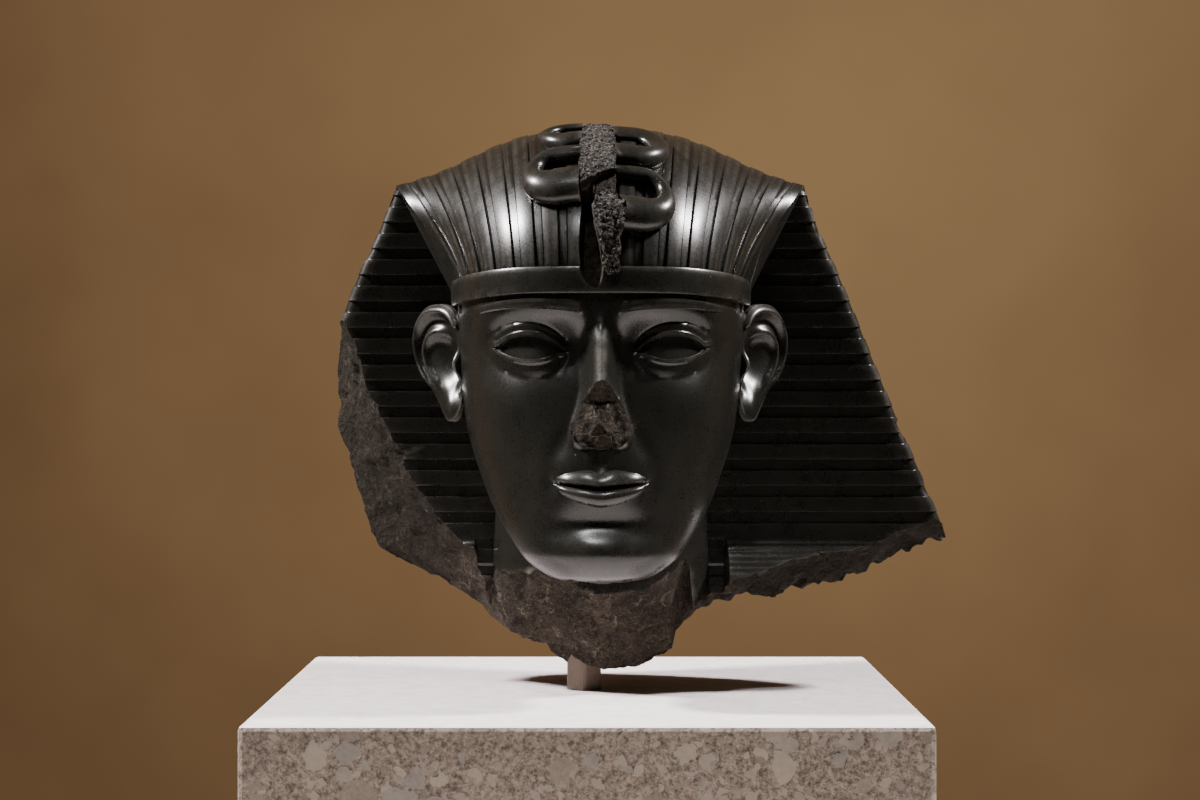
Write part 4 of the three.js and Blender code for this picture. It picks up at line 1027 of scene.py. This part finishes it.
def left_wing_loss():
    fine = 1.35 if FULL else 3.5
    y, z = np.meshgrid(spaced((-50, 90, fine)), spaced((-62, 135, fine)))
    front = np.interp(z, BREAK_HEIGHTS, BREAK_FRONT)
    back = np.interp(z, BREAK_HEIGHTS, BREAK_BACK)
    x = front + (back - front) * np.minimum(1, (y - WING_FACE) / 38) + 0.25 * np.maximum(0, y - WING_FACE - 38)
    x = x + 2.4 * fractal(0 * y, y, z, 30, 3, 1.3) + 1.1 * fractal(x, y, z, 5, 4, 5.1) + 1.8 * facets(x, y, z, 13, 2.2)
    return loss("left_wing_loss", np.minimum(x, -20), y, z, (-220, 0, 0))


def lower_loss():
    fine = 1.8 if FULL else 3.5
    across = spaced((-200, -100, 6), (-100, 160, fine), (160, 200, 8))
    x, y = np.meshgrid(across, spaced((110, -112, fine)))
    edge = np.interp(x, LOWER_X, LOWER_Z)
    bulge = np.sqrt(1 - np.minimum(0.93, (x / NECK_HALF_WIDTH) ** 2))
    in_throat = smooth(-54, -50, x) * (1 - smooth(38.5, 41, x))
    throat = np.maximum(0, NECK_Y - 0.38 * NECK_HALF_DEPTH * bulge - y) * 1.35 / (0.3 + 0.7 * bulge)
    throat = np.minimum(edge + throat, np.maximum(edge, -1.5 + 9 * smooth(18, 40, x)))
    lappet = edge + np.maximum(0, -4 - y) * mix(0.25, 0.75, smooth(60, 100, x)) * (x > 0)
    z = mix(lappet, throat, in_throat) + 0.22 * np.maximum(0, y - 18 * smooth(30, 60, x))
    z = z + 2.2 * fractal(x, y, 0 * x, 24, 3, 6.4) + 1.2 * fractal(x, y, z, 5, 4, 2.6) + 3.2 * facets(x, y, z, 9, 4.4)
    return loss("lower_loss", x, y, z, (0, 0, -160))


def nose_loss():
    """Stone lost from the lower half of the nose: planes that fall away from a ridge, with a ragged edge."""
    fine = 0.55 if FULL else 1.6
    x, z = np.meshgrid(spaced((18.5, -18.5, fine)), spaced((50.5, 85.5, fine)))
    sides = np.minimum(103.2 + 0.42 * (x + 2), 103.2 - 0.45 * (x - 1))
    planes = np.minimum(sides, 103.2 - 0.6 * (60 - z)) + 0.8 * np.maximum(0, z - 74)
    ragged = 1 + 0.14 * fractal(x, 0 * x, z, 9, 3, 12.4)
    edge = 9 * smooth(0.8, 1, np.hypot(x / 18.5, (z - 68) / 17.5) * ragged)
    grain = 1.1 * fractal(x, 0 * x, z, 7, 4, 7.7) + 1.3 * facets(x, 0 * x, z, 8, 3.3)
    return loss("nose_loss", x, -(planes + edge + grain), z, (0, -60, 0))


def post_socket():
    low, high = (np.array(corner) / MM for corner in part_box("post"))
    middle = (low + high) / 2 - np.array([STONE_X, 0, CHIN_HEIGHT])
    return square_bar("socket", middle[0], middle[1], -60, high[2] - CHIN_HEIGHT + 0.3, 12.6, 2.3)


def square_bar(name, x, y, low, high, side, corner, turn=42, surface=BROKEN):
    """Upright square bar with rounded corners."""
    arc = np.radians(np.linspace(0, 90, 6))
    reach = side / 2 - corner
    outline = []
    for quarter, (sign_x, sign_y) in enumerate([(1, 1), (-1, 1), (-1, -1), (1, -1)]):
        angle = arc + quarter * np.pi / 2
        outline.append(np.stack([sign_x * reach + corner * np.cos(angle), sign_y * reach + corner * np.sin(angle)], 1))
    outline = np.concatenate(outline)
    cos, sin = math.cos(math.radians(turn)), math.sin(math.radians(turn))
    flat_x = x + outline[:, 0] * cos - outline[:, 1] * sin
    flat_y = y + outline[:, 0] * sin + outline[:, 1] * cos
    z = np.array([low, high])[:, None] + 0 * flat_x
    return closed_form(name, flat_x + 0 * z, flat_y + 0 * z, z, surface)


def carve_stone():
    """The whole stone: its forms joined, then its breaks cut."""
    stone = head_form()
    stone.name = "royal_head"
    for form in (neck_form(), wing_form(), dome_form(), band_form(), ear_form(1), ear_form(-1)):
        join(stone, form)
    for coil in COILS:
        join(stone, coil_form(*coil))
    join(stone, serpent_recess(), "DIFFERENCE")
    join(stone, serpent_hollow(0.8, -1.2, BROKEN), "DIFFERENCE")
    join(stone, serpent_hollow(0.0, -10.0, BROKEN), "DIFFERENCE")
    join(stone, serpent_strip())
    join(stone, serpent_stub())
    for lost in (nose_loss(), left_wing_loss(), lower_loss(), post_socket()):
        join(stone, lost, "DIFFERENCE")
    return stone


def keep_outer_skin(piece):
    """Pockets shut in between joined forms are no part of the surface: only the largest skin stays."""
    mesh = piece.data
    edges = np.empty(len(mesh.edges) * 2, np.int64)
    mesh.edges.foreach_get("vertices", edges)
    edges = edges.reshape(-1, 2)
    label = np.arange(len(mesh.vertices))
    while True:
        lowest = np.minimum(label[edges[:, 0]], label[edges[:, 1]])
        before = label.copy()
        np.minimum.at(label, edges[:, 0], lowest)
        np.minimum.at(label, edges[:, 1], lowest)
        label = label[label]
        if np.array_equal(before, label):
            break
    names, counts = np.unique(label, return_counts=True)
    keep = names[np.argmax(counts)]
    if len(names) > 1:
        body = bmesh.new()
        body.from_mesh(mesh)
        body.verts.ensure_lookup_table()
        lost = [body.verts[index] for index in np.nonzero(label != keep)[0]]
        bmesh.ops.delete(body, geom=lost, context="VERTS")
        body.to_mesh(mesh)
        body.free()


def finish_mesh(piece, angle=32):
    """Smooth shading with crisp edges where the surface turns sharply."""
    piece.data.shade_smooth()
    piece.data.set_sharp_from_angle(angle=math.radians(angle))


stone = carve_stone()
keep_outer_skin(stone)
stone.data.transform(Matrix.Translation((STONE_X * MM, 0, CHIN_HEIGHT * MM)))
finish_mesh(stone)
print("stone faces", len(stone.data.polygons), "triangles", sum(len(p.vertices) - 2 for p in stone.data.polygons))
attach(stone, "root")
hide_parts("head")


for node, material in (("post", painted_steel()), ("plinth", sawn_conglomerate())):
    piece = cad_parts[node]
    piece.data.materials.clear()
    piece.data.materials.append(material)

# Camera where the photograph's was: level, with no shift
camera_data = bpy.data.cameras.new("camera")
camera_data.sensor_fit = "HORIZONTAL"
camera_data.sensor_width = 36.0
camera_data.lens = 76.95
camera = bpy.data.objects.new("camera", camera_data)
camera.location = (0.0052, -1.166, 0.2506)
camera.rotation_euler = (math.radians(90), 0, 0)
bpy.context.scene.collection.objects.link(camera)
bpy.context.scene.camera = camera


def area_light(name, place, target, size, watts, colour):
    data = bpy.data.lights.new(name, "AREA")
    data.shape = "DISK"
    data.size = size
    data.energy = watts
    data.color = linear(colour)[:3]
    lamp = bpy.data.objects.new(name, data)
    lamp.location = place
    lamp.rotation_euler = (Vector(target) - Vector(place)).to_track_quat("-Z", "Y").to_euler()
    bpy.context.scene.collection.objects.link(lamp)


HEAD_MIDDLE = (STONE_X * MM, 0, 0.27)
area_light("left_lamp", (-1.16, -0.1, 1.29), HEAD_MIDDLE, 0.19, 80, "#fffafa")
area_light("right_lamp", (1.16, -0.04, 1.32), HEAD_MIDDLE, 0.19, 61, "#fffafa")


def block_lamp():
    """A spot that reaches the front of the block and passes below the stone."""
    data = bpy.data.lights.new("block_lamp", "SPOT")
    data.energy = 46
    data.spot_size = math.radians(16)
    data.spot_blend = 0.4
    data.shadow_soft_size = 0.05
    lamp = bpy.data.objects.new("block_lamp", data)
    lamp.location = (-0.2, -0.95, 1.5)
    aim = Vector((0, -0.14, 0.02)) - lamp.location
    lamp.rotation_euler = aim.to_track_quat("-Z", "Y").to_euler()
    bpy.context.scene.collection.objects.link(lamp)


block_lamp()


def room_light():
    """A warm room: a lit wall behind the stone, and less light from the viewer's side."""
    world = bpy.data.worlds.new("room")
    world.use_nodes = True
    tree = world.node_tree
    direction = add_node(tree, "ShaderNodeTexCoord").outputs["Generated"]
    depth = add_node(tree, "ShaderNodeSeparateXYZ", {0: direction}).outputs["Y"]
    behind = levels(tree, depth, -0.1, 0.6)
    from_pool = add_node(tree, "ShaderNodeVectorMath", {0: direction, 1: (0.07, 1, 0.1)}, operation="DISTANCE").outputs["Value"]
    pool = levels(tree, from_pool, 0.03, 0.36, 1, 0)
    uneven = levels(tree, grain(tree, direction, 0.12, 3), 0.3, 0.7, -0.12, 0.12)
    lit = add_node(tree, "ShaderNodeMath", {0: pool, 1: uneven}).outputs[0]
    wall = blend_colours(tree, lit, linear("#614831"), linear("#90724f"))
    tone = blend_colours(tree, behind, linear("#1a1511"), wall)
    tree.links.new(tone, tree.nodes["Background"].inputs["Color"])
    return world


bpy.context.scene.world = room_light()

floor_mesh = bpy.data.meshes.new("floor")
ring = [(0.44 * math.cos(a), 0.44 * math.sin(a), 0) for a in np.linspace(0, 2 * math.pi, 96, endpoint=False)]
floor_mesh.from_pydata(ring, [], [list(range(96))])
floor = bpy.data.objects.new("floor", floor_mesh)
floor.data.materials.append(limewashed_board())
bpy.context.scene.collection.objects.link(floor)
